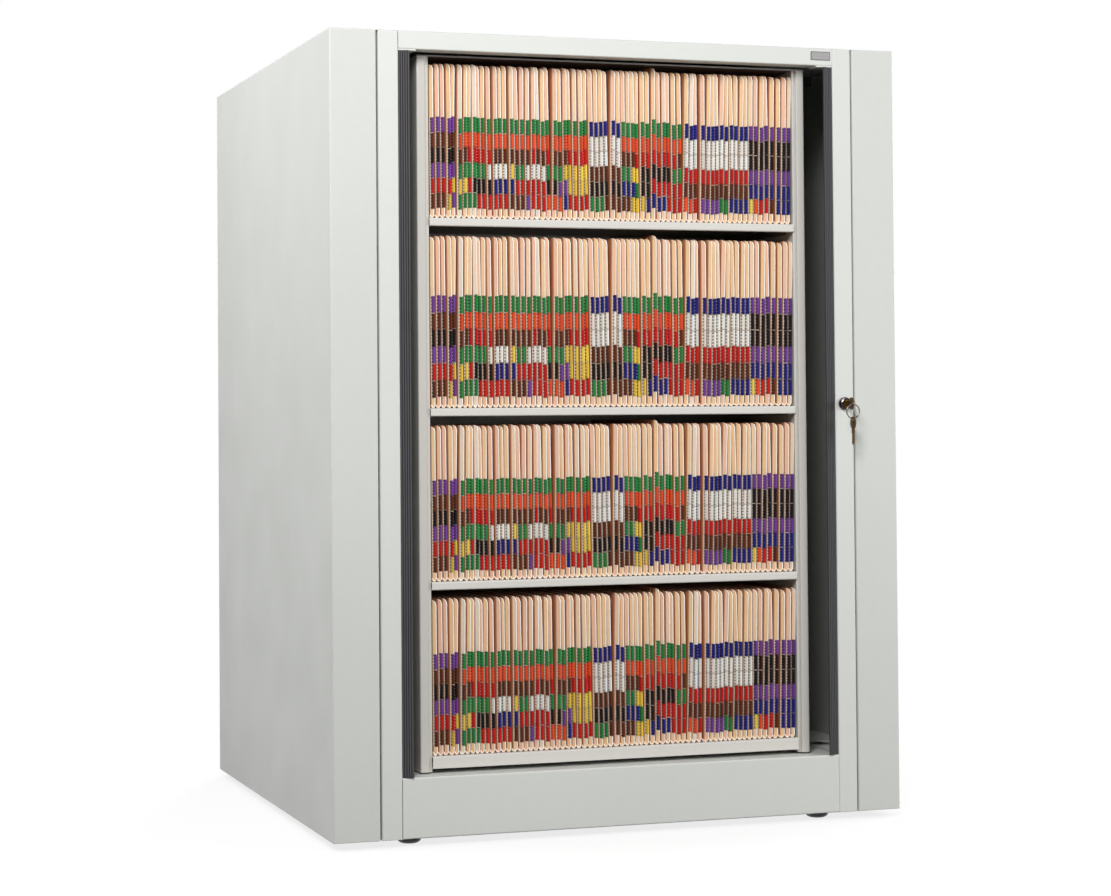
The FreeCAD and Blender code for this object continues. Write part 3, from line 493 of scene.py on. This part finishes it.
ownPaint = {"left_side_panel": extras["sidePaint"], "right_side_panel": extras["sidePaint"],
            "left_end_panel": extras["shadedUprightPaint"], "right_end_panel": extras["shadedUprightPaint"],
            "carousel_top": extras["shadedRoofPaint"]}
for subpart in record["subparts"]:
    surface = ownPaint.get(subpart["node"], finishes[subpart["material_slot"]])
    node = frame["nodes"][subpart["node"]]
    if node.material_slots:
        for place in node.material_slots:
            place.link = "OBJECT"
            place.material = surface
    else:
        node.data.materials.append(surface)
print("finishes on all nodes")


# Folders: a folded card with its tab leaf to the right, its sheets, and six labels on the tab

folderRow = {"count": 69, "left": -0.3018, "right": 0.3018, "front": -0.37934, "back": -0.07934,
             "tab": 0.0013, "leaf": 0.0007, "setback": 0.022, "corner": 0.008, "gap": 0.0008,
             "flare": 0.005, "flareDepth": 0.011, "leafAt": 0.0005, "bendBehind": 0.004, "lift": 0.00006,
             "leafShort": 0.0025, "tabLevels": (0.13, 0.26, 0.39, 0.52, 0.66)}
folderSpread = {"seed": 41, "width": 0.10, "widthRange": (0.82, 1.3), "thick": {51: 1.5, 66: 1.35},
                "lean": 0.0006, "moreLean": 0.0012, "moreLeanFrom": 48, "leanRise": 3, "bow": 0.0006,
                "front": 0.0009, "height": 0.0012, "taller": {42: 0.0042}}
# The rim tone is a painted highlight on the folders' cut edges.
cardTints = {"seed": 11, "tints": ((254, 224, 182), (253, 217, 190), (254, 232, 204), (252, 241, 226)),
             "shares": (0.4, 0.34, 0.18, 0.08), "rim": (0.95, 0.93, 0.88)}
sheetStack = {"low": 0.0045, "below": 0.012, "behind": 0.0245, "short": 0.004, "slack": 0.0001,
              "taper": 0.0002}
labelRow = {"topShare": 0.348, "heightShare": 0.0975, "wrap": 0.0066, "proud": 0.00009, "count": 6,
            "seed": 23, "blockShift": 0.0011, "ownShift": 0.0002, "parting": 0.0003,
            "inkSpread": 0.07, "inkRange": (0.005, 0.9)}
rowSeed = 7
cardCorners = 6  # three on each side of the card's section: front edge, bend and back edge
palette = {"purple": (118, 68, 152), "green": (42, 132, 66), "navy": (38, 40, 122), "orange": (232, 82, 46),
           "red": (200, 34, 32), "brown": (96, 48, 30), "black": (30, 22, 22), "white": (244, 240, 232),
           "yellow": (236, 200, 78)}
blocks = (5, 25, 6, 12, 13, 8)  # folders in each group that shares its upper labels
runRows = ("purple 5 green 25 navy 6 green 12 navy 13 purple 8",
           "brown 5 orange 25 white 6 orange 12 white 13 black 8",
           "black 5 brown 2 red 5 brown 7 red 1 brown 2 red 1 brown 3 red 4 white 6 brown 3 red 8 brown 1 "
           "white 13 black 8")
mixedRows = ({"favour": "white yellow black green",
              "fixed": {0: "purple", 2: "brown", 4: "red", 5: "purple"}},
             {"favour": "yellow purple black red green navy",
              "fixed": {2: "black", 4: "brown", 5: "navy"}},
             {"favour": "purple navy orange red green brown yellow red green", "fixed": {}})


def labelColours():
    # Colour names for each row: set runs in the upper rows, short random runs in the lower.
    chooser = np.random.default_rng(rowSeed)
    rows = []
    for runs in runRows:
        words = runs.split()
        rows.append(sum(([name] * int(length) for name, length in zip(words[::2], words[1::2])), []))
    for row in mixedRows:
        names = []
        for block, length in enumerate(blocks):
            filled = []
            while len(filled) < length:
                run = int(chooser.integers(1, 5))
                filled += [row["fixed"].get(block) or str(chooser.choice(row["favour"].split()))] * run
            names += filled[:length]
        rows.append(names)
    return np.array([[linearColour(*palette[name]) for name in row] for row in rows])


def folderPlaces(height):
    # Each folder's place, width, lean, bow, front edge and height, the same in every tier.
    spread = folderSpread
    chooser = np.random.default_rng(spread["seed"])
    count = folderRow["count"]
    share = np.clip(1 + spread["width"] * chooser.standard_normal(count), *spread["widthRange"])
    for folder, thickness in spread["thick"].items():
        share[folder] = thickness
    ends = folderRow["left"] + np.cumsum(share) / share.sum() * (folderRow["right"] - folderRow["left"])
    width = np.diff(np.concatenate([[folderRow["left"]], ends])) - folderRow["gap"]
    lean = (spread["lean"] * chooser.standard_normal(count)
            + spread["moreLean"] * (np.arange(count) >= spread["moreLeanFrom"]))
    bow = spread["bow"] * chooser.standard_normal(count)
    front = folderRow["front"] + np.abs(spread["front"] * chooser.standard_normal(count))
    tall = height - np.abs(spread["height"] * chooser.standard_normal(count)) - spread["height"]
    for folder, extra in spread["taller"].items():
        tall[folder] = height + extra
    return ends - folderRow["gap"], width, lean, bow, front, tall


def folderStations(height):
    # The fold seen from the front, from the left leaf's top round the bottom to the tab's top:
    # share of the way across, level, thickness and how far the edge stands back.
    leaf, tab = folderRow["leaf"], folderRow["tab"]
    back, corner = folderRow["setback"], folderRow["corner"]
    one = np.ones_like(height)
    stations = [(0.0, height - folderRow["leafShort"], leaf, back), (0.0, 0.016 * one, leaf, back),
                (0.06, 0.007 * one, leaf, back - 0.001), (0.13, 0.005 * one, 0.0012, 0.0025),
                (0.22, 0.002 * one, 0.0013, 0.0008), (0.6, 0.0006 * one, 0.0011, 0.0004),
                (1.0, 0.004 * one, tab, 0.0)]
    stations += [(1.0, share * height, tab, 0.0) for share in folderRow["tabLevels"]]
    for up in (0.0, 0.707, 1.0):  # the tab's rounded upper corner, a quarter circle
        stations.append((1.0, height - corner * (1 - up), tab, corner * (1 - math.sqrt(1 - up * up))))
    level = np.stack([station[1] for station in stations], axis=1)
    across, thick, behind = (np.array([station[column] for station in stations]) for column in (0, 2, 3))
    return across, level, thick, behind


def tabPlace(width, depth):
    # The tab's middle across the folder: it flares to the right over its foremost part.
    flare = folderRow["flare"] * np.minimum(depth, folderRow["flareDepth"]) / folderRow["flareDepth"]
    return width - folderRow["tab"] / 2 - flare


def swayAt(level, height, lean, bow):
    # Sideways drift of a leaf: lean grows with height, bow is a half sine.
    share = level / height
    return lean * share * folderSpread["leanRise"] + bow * np.sin(np.pi * np.clip(share, 0, 1))


def tintCards(card, sidesPerFolder, count):
    # One tint for each folder; its cut edges are painted paler as a painted highlight: the last of the faces
    # round the section and both end faces.
    chooser = np.random.default_rng(cardTints["seed"])
    tints = np.array([linearColour(*tone) for tone in cardTints["tints"]])
    tint = tints[chooser.choice(len(tints), count, p=cardTints["shares"])]
    rim = np.array(cardTints["rim"])
    isRim = np.arange(sidesPerFolder) % cardCorners == cardCorners - 1
    sides = np.where(isRim[None, :, None], rim, tint[:, None, :])
    ends = np.tile(rim, (count * 2 * cardCorners, 1))
    colours = np.concatenate([np.repeat(sides.reshape(-1, 3), 4, axis=0), ends])
    layer = card.data.color_attributes.new("cardTint", "FLOAT_COLOR", "CORNER")
    layer.data.foreach_set("color", np.c_[colours, np.ones(len(colours))].ravel())


def cardShape(bottom, ends, width, lean, bow, front, tall):
    # The card's section carried along the fold: its corners are set off to both sides of the fold's line
    # by half the thickness, at right angles to the line (its gradient turned by a quarter).
    column = lambda values: values[:, None]
    across, level, thick, behind = folderStations(tall)
    sway = swayAt(level, column(tall), column(lean), column(bow))
    alongX = np.gradient(across * column(width), axis=1)
    alongZ = np.gradient(level, axis=1)
    size = np.hypot(alongX, alongZ)
    half = thick / 2
    leafAt = folderRow["leafAt"]
    bend = np.maximum(folderRow["flareDepth"], behind + folderRow["bendBehind"])
    frontY, bendY = column(front) + behind, column(front) + bend
    backY = np.broadcast_to(folderRow["back"], bendY.shape)
    corners = []
    for side, y, depth in ((-1, frontY, behind), (-1, bendY, bend), (-1, backY, bend),
                           (1, backY, bend), (1, bendY, bend), (1, frontY, behind)):
        middle = column(ends - width) + leafAt + across * (tabPlace(column(width), depth) - leafAt) + sway
        z = bottom + folderRow["lift"] + np.maximum(level - side * half * alongX / size, 0.0)
        corners.append(np.stack([middle + side * half * alongZ / size, y, z], axis=-1))
    return np.stack(corners, axis=2)


def folderTier(index, bottom, height):
    # The cards, sheets and labels of one tier; each card is a tube with an end face at both tips.
    ends, width, lean, bow, front, tall = folderPlaces(height)
    points = cardShape(bottom, ends, width, lean, bow, front, tall)
    count, stations = points.shape[:2]
    sides = np.array(tubeFaces(stations, cardCorners, False))
    starts = np.arange(count) * stations * cardCorners
    faces = (sides[None] + starts[:, None, None]).reshape(-1, 4).tolist()
    order = np.arange(cardCorners)
    for station, turned in ((0, order[::-1]), (stations - 1, order)):
        faces += (starts[:, None] + station * cardCorners + turned[None]).tolist()
    points = points.reshape(-1, 3)
    card = addMesh(f"foldersTier{index}", points, outward(points, faces), finishes["folder_card"], "carousel")
    tintCards(card, len(sides), count)
    sheets = addMesh(f"papersTier{index}", *folderSheets(bottom, ends, width, lean, bow, tall),
                     extras["paper"], "carousel")
    stickers = labelWraps(index, bottom, height, ends, width, lean, bow, front, tall)
    for piece in (card, sheets, stickers):
        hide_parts(f"folders_tier_{index}")


def folderSheets(bottom, ends, width, lean, bow, tall):
    # A stack of sheets in each folder: a box between its leaves that follows the lean and the bow.
    low, high = sheetStack["low"], tall - sheetStack["below"]
    left = ends - width + folderRow["leafAt"] + folderRow["leaf"] / 2 + sheetStack["slack"]
    right = ends - width + tabPlace(width, 1.0) - folderRow["tab"] / 2 - sheetStack["slack"]
    drift = swayAt(high, tall, lean, bow)
    frontY, backY = folderRow["front"] + sheetStack["behind"], folderRow["back"] - sheetStack["short"]
    floor = low * np.ones_like(left)
    ring = [(left + sheetStack["taper"], floor), (right, floor), (right + drift, high), (left + drift, high)]
    rings = [np.stack([np.stack([x, np.full_like(x, y), z + bottom], axis=-1) for x, z in ring], axis=1)
             for y in (frontY, backY)]
    points = np.stack(rings, axis=1)
    box = np.array(tubeFaces(2, 4))
    faces = (box[None] + (np.arange(len(ends)) * 8)[:, None, None]).reshape(-1, 4)
    return points.reshape(-1, 3), outward(points.reshape(-1, 3), faces.tolist())


def labelLevels(height, count, tall, chooser):
    # Top and lower edge of every label: each folder's labels shift together, and each a hair by itself.
    rows = labelRow["count"]
    each = labelRow["heightShare"] * height
    blockShift = (labelRow["blockShift"] * chooser.standard_normal(count)
                  + (tall - height + folderSpread["height"]))
    rowTop = (1 - labelRow["topShare"]) * height - each * np.arange(rows)
    top = rowTop[None] + blockShift[:, None] + labelRow["ownShift"] * chooser.standard_normal((count, rows))
    return np.stack([top, top - each + labelRow["parting"]], axis=-1)


def labelWraps(index, bottom, height, ends, width, lean, bow, front, tall):
    # Labels round the tab's edge: a band of three faces, one hair proud of the card.
    chooser = np.random.default_rng(labelRow["seed"])
    count, rows = len(ends), labelRow["count"]
    wrap, proud = labelRow["wrap"], labelRow["proud"]
    levels = labelLevels(height, count, tall, chooser)
    wide = lambda values: values[:, None, None]
    sway = swayAt(levels, wide(tall), wide(lean), wide(bow))
    half = folderRow["tab"] / 2 + proud
    bands = []
    for side, depth in ((-1, wrap), (-1, -proud), (1, -proud), (1, wrap)):
        x = wide(ends - width + tabPlace(width, max(depth, 0))) + sway + side * half
        bands.append((x, np.broadcast_to(wide(front + depth), levels.shape)))
    points = np.stack([np.stack([x, y, bottom + levels], axis=-1) for x, y in bands], axis=-2)
    start = (np.arange(count * rows) * 8)[:, None, None]
    quads = np.array([[0, 4, 5, 1], [1, 5, 6, 2], [2, 6, 7, 3]])
    faces = (start + quads[None]).reshape(-1, 4)
    piece = addMesh(f"labelsTier{index}", points.reshape(-1, 3), faces, extras["label"], "carousel")
    uneven = 1 + labelRow["inkSpread"] * chooser.standard_normal((count, rows, 1))
    inks = np.clip(np.transpose(labelColours(), (1, 0, 2)) * uneven, *labelRow["inkRange"])
    inks = np.repeat(inks.reshape(-1, 3), 8, axis=0)
    layer = piece.data.color_attributes.new("labelInk", "FLOAT_COLOR", "POINT")
    layer.data.foreach_set("color", np.c_[inks, np.ones(len(inks))].ravel())
    # Each point's place on its label: millimetres behind the edge, share of the height, label number.
    spot = np.empty((count * rows, 2, 4, 3))
    spot[..., 0] = np.array([wrap, 0, 0, wrap]) * 1000
    spot[..., 1] = np.array([1.0, 0.0])[None, :, None]
    spot[..., 2] = np.arange(count * rows)[:, None, None] + 0.5
    place = piece.data.attributes.new("labelSpot", "FLOAT_VECTOR", "POINT")
    place.data.foreach_set("vector", spot.ravel())
    return piece


for tierIndex in (1, 2, 3, 4):
    lowCorner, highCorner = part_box(f"folders_tier_{tierIndex}")
    folderTier(tierIndex, lowCorner.z, highCorner.z - lowCorner.z)
print("folders: 4 tiers of", folderRow["count"])


# Door seals: a base on the post and a flap with four round ribs

def sealOutline():
    # The right strip's outline; along the flap its skin rises by rib * sqrt|sin(ribs * pi * share)|.
    root = np.array([seal["half"] - seal["base"], seal["front"] + seal["inset"]])
    tip = np.array([root[0] - seal["reach"], seal["front"] - seal["forward"]])
    along = tip - root
    out = np.array([-along[1], along[0]]) / np.hypot(*along)
    out = out if out[1] < 0 else -out
    share = np.linspace(1, 0, 8 * seal["ribs"] + 1)[:, None]
    ribs = root + along * share + out * seal["rib"] * np.sqrt(np.abs(np.sin(seal["ribs"] * np.pi * share)))
    corners = np.array([[seal["half"], root[1]], [seal["half"], root[1] + seal["baseDepth"]],
                        [root[0], root[1] + seal["baseDepth"]], [root[0], root[1] + seal["sheet"]],
                        tip - out * seal["sheet"]])
    return np.concatenate([corners, ribs])


def sealStrip(side, node):
    # The outline drawn from the node's foot to its head; the free flap sways by a slight sine wave.
    lowCorner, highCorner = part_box(node)
    outline = sealOutline()
    outline = outline * [side, 1] if side > 0 else (outline * [side, 1])[::-1]
    level = np.linspace(lowCorner.z, highCorner.z, seal["levels"])
    grid = (len(level), len(outline))
    wave = seal["wave"] * np.sin(level * seal["waves"] + side)[:, None]
    free = np.clip((seal["half"] - seal["base"] - np.abs(outline[:, 0])) / seal["reach"], 0, 1)
    points = np.stack([outline[:, 0] + wave * free, np.broadcast_to(outline[:, 1], grid),
                       np.broadcast_to(level[:, None], grid)], axis=-1).reshape(-1, 3)
    faces = outward(points, tubeFaces(*grid))
    piece = addMesh(node.replace("_", "") + "Ribs", points, faces, finishes["seal_rubber"], "casing")
    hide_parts(node)


sealStrip(-1, "left_seal_strip")
sealStrip(1, "right_seal_strip")
print("seals")


# Lock: a domed bezel turned about the lock's axis

lock = {"x": 0.377, "z": 0.665, "front": -0.41534, "radius": 0.0105, "depth": 0.008, "bore": 0.00605,
        "barrel": 0.009, "length": 0.022, "around": 72, "lip": 0.0009, "rise": 0.0012, "lipDrop": 0.0006,
        "lipRound": 0.0003, "lipTop": 0.0001}


def lockBezel():
    # The dome's section is a quarter ellipse from the bore's lip to the rim on the post.
    bore, radius, depth, length = lock["bore"], lock["radius"], lock["depth"], lock["length"]
    turn = np.linspace(0, np.pi / 2, 13)
    lip = bore + lock["lip"]
    dome = np.stack([lip + (radius - lip) * np.sin(turn),
                     lock["rise"] + (depth - lock["rise"]) * np.cos(turn)], axis=-1)
    inner = [(bore, -length), (bore, depth - lock["lipDrop"]),
             (bore + lock["lipRound"], depth - lock["lipTop"])]
    outer = [(radius, 0.0), (lock["barrel"], 0.0), (lock["barrel"], -length)]
    profile = np.array(inner + dome.tolist() + outer)
    points = turnedShape(profile, lock["around"])
    points = np.stack([points[:, 0] + lock["x"], lock["front"] - points[:, 2],
                       points[:, 1] + lock["z"]], axis=-1)
    faces = tubeFaces(len(profile), lock["around"], False)
    # The last ring closes back on the first.
    column = np.arange(lock["around"])
    following = (column + 1) % lock["around"]
    last = (len(profile) - 1) * lock["around"]
    faces += np.stack([last + column, last + following, following, column], axis=-1).tolist()
    piece = addMesh("lockBezel", points, outward(points, faces), finishes["lock_chrome"], "casing", True)
    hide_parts("lock_housing")


lockBezel()


# Keys: a flat bow with a hole, a shoulder and a cut blade, and a split ring through both holes

keyShape = {"sheet": 0.0022, "bow": 0.010, "neck": 0.006, "neckHeight": 0.009, "blade": 0.007,
            "bladeLength": 0.019, "cutDepths": (0.0016, 0.0009, 0.0014, 0.0011), "cutTop": 0.42,
            "cutFloor": 0.12, "tipLevel": 0.0004, "tipSlope": 0.6, "bowSquash": 0.98,
            "hole": 0.00275, "holeOffset": 0.0055, "edge": 0.00035}


def keyPlate():
    # The outline in (u, v): u along the key from the bow's centre, v across it.
    half, neck = keyShape["blade"] / 2, keyShape["neckHeight"] / 2
    neckAngle = math.asin(neck / keyShape["bow"])
    turn = np.linspace(neckAngle, 2 * np.pi - neckAngle, 40)
    bow = np.stack([np.cos(turn), np.sin(turn) * keyShape["bowSquash"]], axis=-1) * keyShape["bow"]
    start = keyShape["bow"] + keyShape["neck"]
    tip = start + keyShape["bladeLength"]
    depths = keyShape["cutDepths"]
    pitch = (keyShape["bladeLength"] - half) / (len(depths) + 1)
    middles = start + pitch * np.arange(1, len(depths) + 1)
    top, floor = keyShape["cutTop"] * pitch, keyShape["cutFloor"] * pitch
    cuts = [[(middle - top, half), (middle - floor, half - depth), (middle + floor, half - depth),
             (middle + top, half)] for middle, depth in zip(middles, depths)]
    lower = [(start, -neck), (start, -half), (tip - half, -half), (tip, keyShape["tipLevel"]),
             (tip - keyShape["tipSlope"] * half, half)]
    upper = [point for cut in cuts[::-1] for point in cut[::-1]] + [(start, half), (start, neck)]
    outline = np.concatenate([bow, np.array(lower + upper)])
    turn = np.linspace(0, 2 * np.pi, 28, endpoint=False)
    hole = np.stack([-keyShape["holeOffset"] + keyShape["hole"] * np.cos(turn),
                     keyShape["hole"] * np.sin(turn)], axis=-1)
    return flatPlate(outline, [hole], keyShape["sheet"], keyShape["edge"])


def placeKey(name, node, hanging):
    # Into the lock the key runs along +Y, hanging it runs down.
    lowCorner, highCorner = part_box(node)
    points, faces = keyPlate()
    u, v, w = points[:, 0], points[:, 1], points[:, 2]
    x = lock["x"] + w
    if hanging:
        y = (lowCorner.y + highCorner.y) / 2 + v
        z = highCorner.z - keyShape["bow"] - u
    else:
        y = lowCorner.y + keyShape["bow"] + u
        z = (lowCorner.z + highCorner.z) / 2 + v
    points = np.stack([x, y, z], axis=-1)
    piece = addMesh(name, points, outward(points, faces), finishes["key_brass"], node)
    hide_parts(node)


coil = {"stations": 144, "around": 10, "step": 0.5, "sharpness": 3, "wide": 0.98, "flat": 0.47}


def splitRing():
    # Two flat coils side by side: an oval section carried twice round; halfway it steps over by one
    # wire, along a tanh of the turns.
    lowCorner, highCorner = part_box("key_ring")
    centre = (lowCorner + highCorner) / 2
    outer = (highCorner.x - lowCorner.x) / 2
    wire = (highCorner.y - lowCorner.y) / 2
    turn = np.linspace(0, 4 * np.pi, coil["stations"])
    easing = np.tanh(coil["sharpness"] * (turn / (2 * np.pi) - 1)) / np.tanh(coil["sharpness"])
    step = wire * coil["step"] * easing
    around = np.linspace(0, 2 * np.pi, coil["around"], endpoint=False)
    radius = outer - wire + wire * coil["wide"] * np.cos(around)[None, :]
    x = centre.x + radius * np.cos(turn)[:, None]
    z = centre.z + radius * np.sin(turn)[:, None]
    y = centre.y + step[:, None] + coil["flat"] * wire * np.sin(around)[None, :]
    points = np.stack([x, np.broadcast_to(y, x.shape), z], axis=-1).reshape(-1, 3)
    piece = addMesh("splitRing", points, outward(points, tubeFaces(len(turn), len(around))),
                    finishes["ring_steel"], "key_ring", True)
    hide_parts("key_ring")


placeKey("doorKey", "door_key", False)
placeKey("spareKey", "spare_key", True)
splitRing()
print("lock and keys")


# Levelling feet: a round glide and its threaded stem

glide = {"radius": 0.0185, "sole": 0.0080, "height": 0.0095, "belly": 0.0072, "neck": 0.008,
         "stem": 0.005, "groove": 0.0006, "pitch": 0.0015, "plain": 0.001, "topEdge": 0.0008, "top": 0.0012,
         "around": 48, "closed": 1e-5}


def glideProfile(height):
    # Radius and level from the sole up: a bowl (quarter ellipse), a domed top, then thread ridges.
    turn = np.linspace(0, np.pi / 2, 9)
    radius, sole, belly = glide["radius"], glide["sole"], glide["belly"]
    stem, groove, tall = glide["stem"], glide["stem"] - glide["groove"], glide["height"]
    bowl = np.stack([sole + (radius - sole) * np.sin(turn), belly * (1 - np.cos(turn))], axis=-1)
    dome = np.stack([radius - (radius - glide["neck"]) * (1 - np.cos(turn)),
                     belly + (tall - belly) * np.sin(turn)], axis=-1)
    ridges = np.arange(tall + glide["plain"], height - glide["plain"], glide["pitch"] / 2)
    thread = np.stack([np.where(np.arange(len(ridges)) % 2, stem, groove), ridges], axis=-1)
    top = [(groove, height - glide["topEdge"]), (stem - glide["top"], height), (glide["closed"], height)]
    return np.array([(glide["closed"], 0.0)] + bowl.tolist() + dome[1:].tolist() + [(groove, tall)]
                    + thread.tolist() + top)


def levellingFoot(node):
    # The profile turned about the node's own axis, with its sole at the node's foot.
    lowCorner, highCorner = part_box(node)
    profile = glideProfile(highCorner.z - lowCorner.z)
    points = turnedShape(profile, glide["around"])
    points += [(lowCorner.x + highCorner.x) / 2, (lowCorner.y + highCorner.y) / 2, lowCorner.z]
    faces = outward(points, tubeFaces(len(profile), glide["around"]))
    piece = addMesh(node.replace("_", "") + "Glide", points, faces, finishes["foot_black"], node, True)
    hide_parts(node)


for footNode in ("foot_front_left", "foot_front_right", "foot_rear_left", "foot_rear_right"):
    levellingFoot(footNode)
print("feet")


# Blank plate on the header's right end

badge = {"left": 0.3235, "right": 0.3575, "bottom": 1.2165, "top": 1.2305, "front": -0.41534,
         "rimThick": 0.0006, "plateThick": 0.0010, "rimWidth": 0.0009, "corner": 0.0012, "edge": 0.0002}


def blankPlate():
    # A thin tray with a plain face that stands proud of its rim; nothing is printed on it.
    halfWidth, halfHeight = (badge["right"] - badge["left"]) / 2, (badge["top"] - badge["bottom"]) / 2
    centre = np.array([(badge["left"] + badge["right"]) / 2, badge["front"],
                       (badge["top"] + badge["bottom"]) / 2])
    turn = np.linspace(0, 2 * np.pi, 32, endpoint=False)
    radius = badge["corner"]
    rim = ("badgeRim", 0.0, badge["rimThick"], extras["badgeEdge"])
    plate = ("badgePlate", badge["rimWidth"], badge["plateThick"], extras["badge"])
    for name, inset, thick, surface in (rim, plate):
        u = np.sign(np.cos(turn)) * (halfWidth - inset - radius) + radius * np.cos(turn)
        v = np.sign(np.sin(turn)) * (halfHeight - inset - radius) + radius * np.sin(turn)
        points, faces = flatPlate(np.stack([u, v], axis=-1), [], thick, badge["edge"])
        points = centre + np.stack([points[:, 0], -points[:, 2] - thick / 2, points[:, 1]], axis=-1)
        piece = addMesh(name, points, outward(points, faces), surface, "casing")


blankPlate()
print("plate")


# Floor, world, lamps and camera

stage = {"reach": 14, "floor": 0.16, "floorSeen": 0.95, "glow": 0.8, "fade": (0.7, 2.0),
         "worldLevel": 0.15}


def directlySeen(tree):
    # 1 for what the eye sees, also in a mirror or through glass; 0 for light that falls on the object.
    path = tree.nodes.new("ShaderNodeLightPath")
    seen = calculate(tree, "MAXIMUM", path.outputs["Is Camera Ray"], path.outputs["Is Glossy Ray"])
    return calculate(tree, "MAXIMUM", seen, path.outputs["Is Transmission Ray"])


def paleFloor():
    # A matt floor that takes the shadow near the object and fades to plain white away from it.
    reach = stage["reach"]
    mesh = bpy.data.meshes.new("floor")
    mesh.from_pydata([(-reach, -reach, 0), (reach, -reach, 0), (reach, reach, 0), (-reach, reach, 0)], [],
                     [(0, 1, 2, 3)])
    floor = bpy.data.objects.new("floor", mesh)
    bpy.context.scene.collection.objects.link(floor)
    material = bpy.data.materials.new("paleFloor")
    material.use_nodes = True
    tree = material.node_tree
    tree.nodes.clear()
    matt = tree.nodes.new("ShaderNodeBsdfDiffuse")
    light = tree.nodes.new("ShaderNodeEmission")
    light.inputs["Strength"].default_value = 1.0
    seen = directlySeen(tree)
    tone = blendColours(tree, seen, (stage["floor"],) * 3, (stage["floorSeen"],) * 3)
    tree.links.new(tone, matt.inputs["Color"])
    away = tree.nodes.new("ShaderNodeVectorMath")
    away.operation = "LENGTH"
    tree.links.new(objectPlace(tree), away.inputs[0])
    white = remap(tree, away.outputs["Value"], *stage["fade"], stage["glow"], 1.0)
    mixer = tree.nodes.new("ShaderNodeMixShader")
    output = tree.nodes.new("ShaderNodeOutputMaterial")
    tree.links.new(product(tree, seen, white), mixer.inputs[0])
    tree.links.new(matt.outputs[0], mixer.inputs[1])
    tree.links.new(light.outputs[0], mixer.inputs[2])
    tree.links.new(mixer.outputs[0], output.inputs["Surface"])
    mesh.materials.append(material)


def studioWorld():
    # White where it is seen, a low even level where it lights the object.
    world = bpy.data.worlds.new("studio")
    bpy.context.scene.world = world
    world.use_nodes = True
    tree = world.node_tree
    tree.nodes.clear()
    back = tree.nodes.new("ShaderNodeBackground")
    back.inputs["Color"].default_value = (1, 1, 1, 1)
    level = remap(tree, directlySeen(tree), 0, 1, stage["worldLevel"], 1.0)
    tree.links.new(level, back.inputs["Strength"])
    output = tree.nodes.new("ShaderNodeOutputWorld")
    tree.links.new(back.outputs[0], output.inputs["Surface"])


lamps = {
    "keyLamp": {"place": (-1.05, -2.4, 2.15), "aim": (0.0, -0.4, 0.85), "size": 1.0, "power": 59},
    "leftLamp": {"place": (-1.9, 0.0, 1.9), "aim": (-0.47, -0.05, 0.9), "size": 0.8, "power": 24},
    "rightLamp": {"place": (2.0, -2.4, 0.95), "aim": (0.4, -0.4, 0.55), "size": 1.0, "power": 36,
                  "gloss": False},
    "backLamp": {"place": (0.9, 3.0, 1.5), "aim": (0.1, 0.45, 0.7), "size": 1.2, "power": 66,
                 "gloss": False},
    "sideLamp": {"place": (3.0, 0.5, 1.5), "aim": (0.47, 0.0, 0.7), "size": 1.4, "power": 52,
                 "gloss": False},
}


def areaLamp(name, settings):
    data = bpy.data.lights.new(name, "AREA")
    data.shape = "DISK"
    data.size = settings["size"]
    data.energy = settings["power"]
    lamp = bpy.data.objects.new(name, data)
    lamp.visible_glossy = settings.get("gloss", True)  # fill lamps leave no bright patch on the paint
    bpy.context.scene.collection.objects.link(lamp)
    lamp.location = settings["place"]
    lamp.rotation_euler = (Vector(settings["aim"]) - lamp.location).to_track_quat("-Z", "Y").to_euler()


view = {"place": (-1.36885, -4.12410, 0.64889), "yaw": 0.3266, "pitch": 0.0229, "roll": -0.0077,
        "lens": 82.16, "sensor": 36, "shift": -0.0812}


def mainCamera():
    # Right, up and back axes from yaw, pitch and roll; the shift straightens the uprights.
    yaw, pitch, roll = view["yaw"], view["pitch"], view["roll"]
    forward = Vector((math.sin(yaw) * math.cos(pitch), math.cos(yaw) * math.cos(pitch), math.sin(pitch)))
    right = Vector((math.cos(yaw), -math.sin(yaw), 0))
    up = right.cross(forward)
    turnedRight = right * math.cos(roll) + up * math.sin(roll)
    turnedUp = up * math.cos(roll) - right * math.sin(roll)
    data = bpy.data.cameras.new("camera")
    data.sensor_width = view["sensor"]
    data.lens = view["lens"]
    data.shift_y = view["shift"]
    camera = bpy.data.objects.new("camera", data)
    bpy.context.scene.collection.objects.link(camera)
    axes = Matrix((turnedRight, turnedUp, -forward)).transposed().to_4x4()
    camera.matrix_world = Matrix.Translation(view["place"]) @ axes
    bpy.context.scene.camera = camera


paleFloor()
studioWorld()
for lampName, lampSettings in lamps.items():
    areaLamp(lampName, lampSettings)
mainCamera()
bpy.context.scene.view_settings.view_transform = "Standard"
print("stage, lamps and camera")
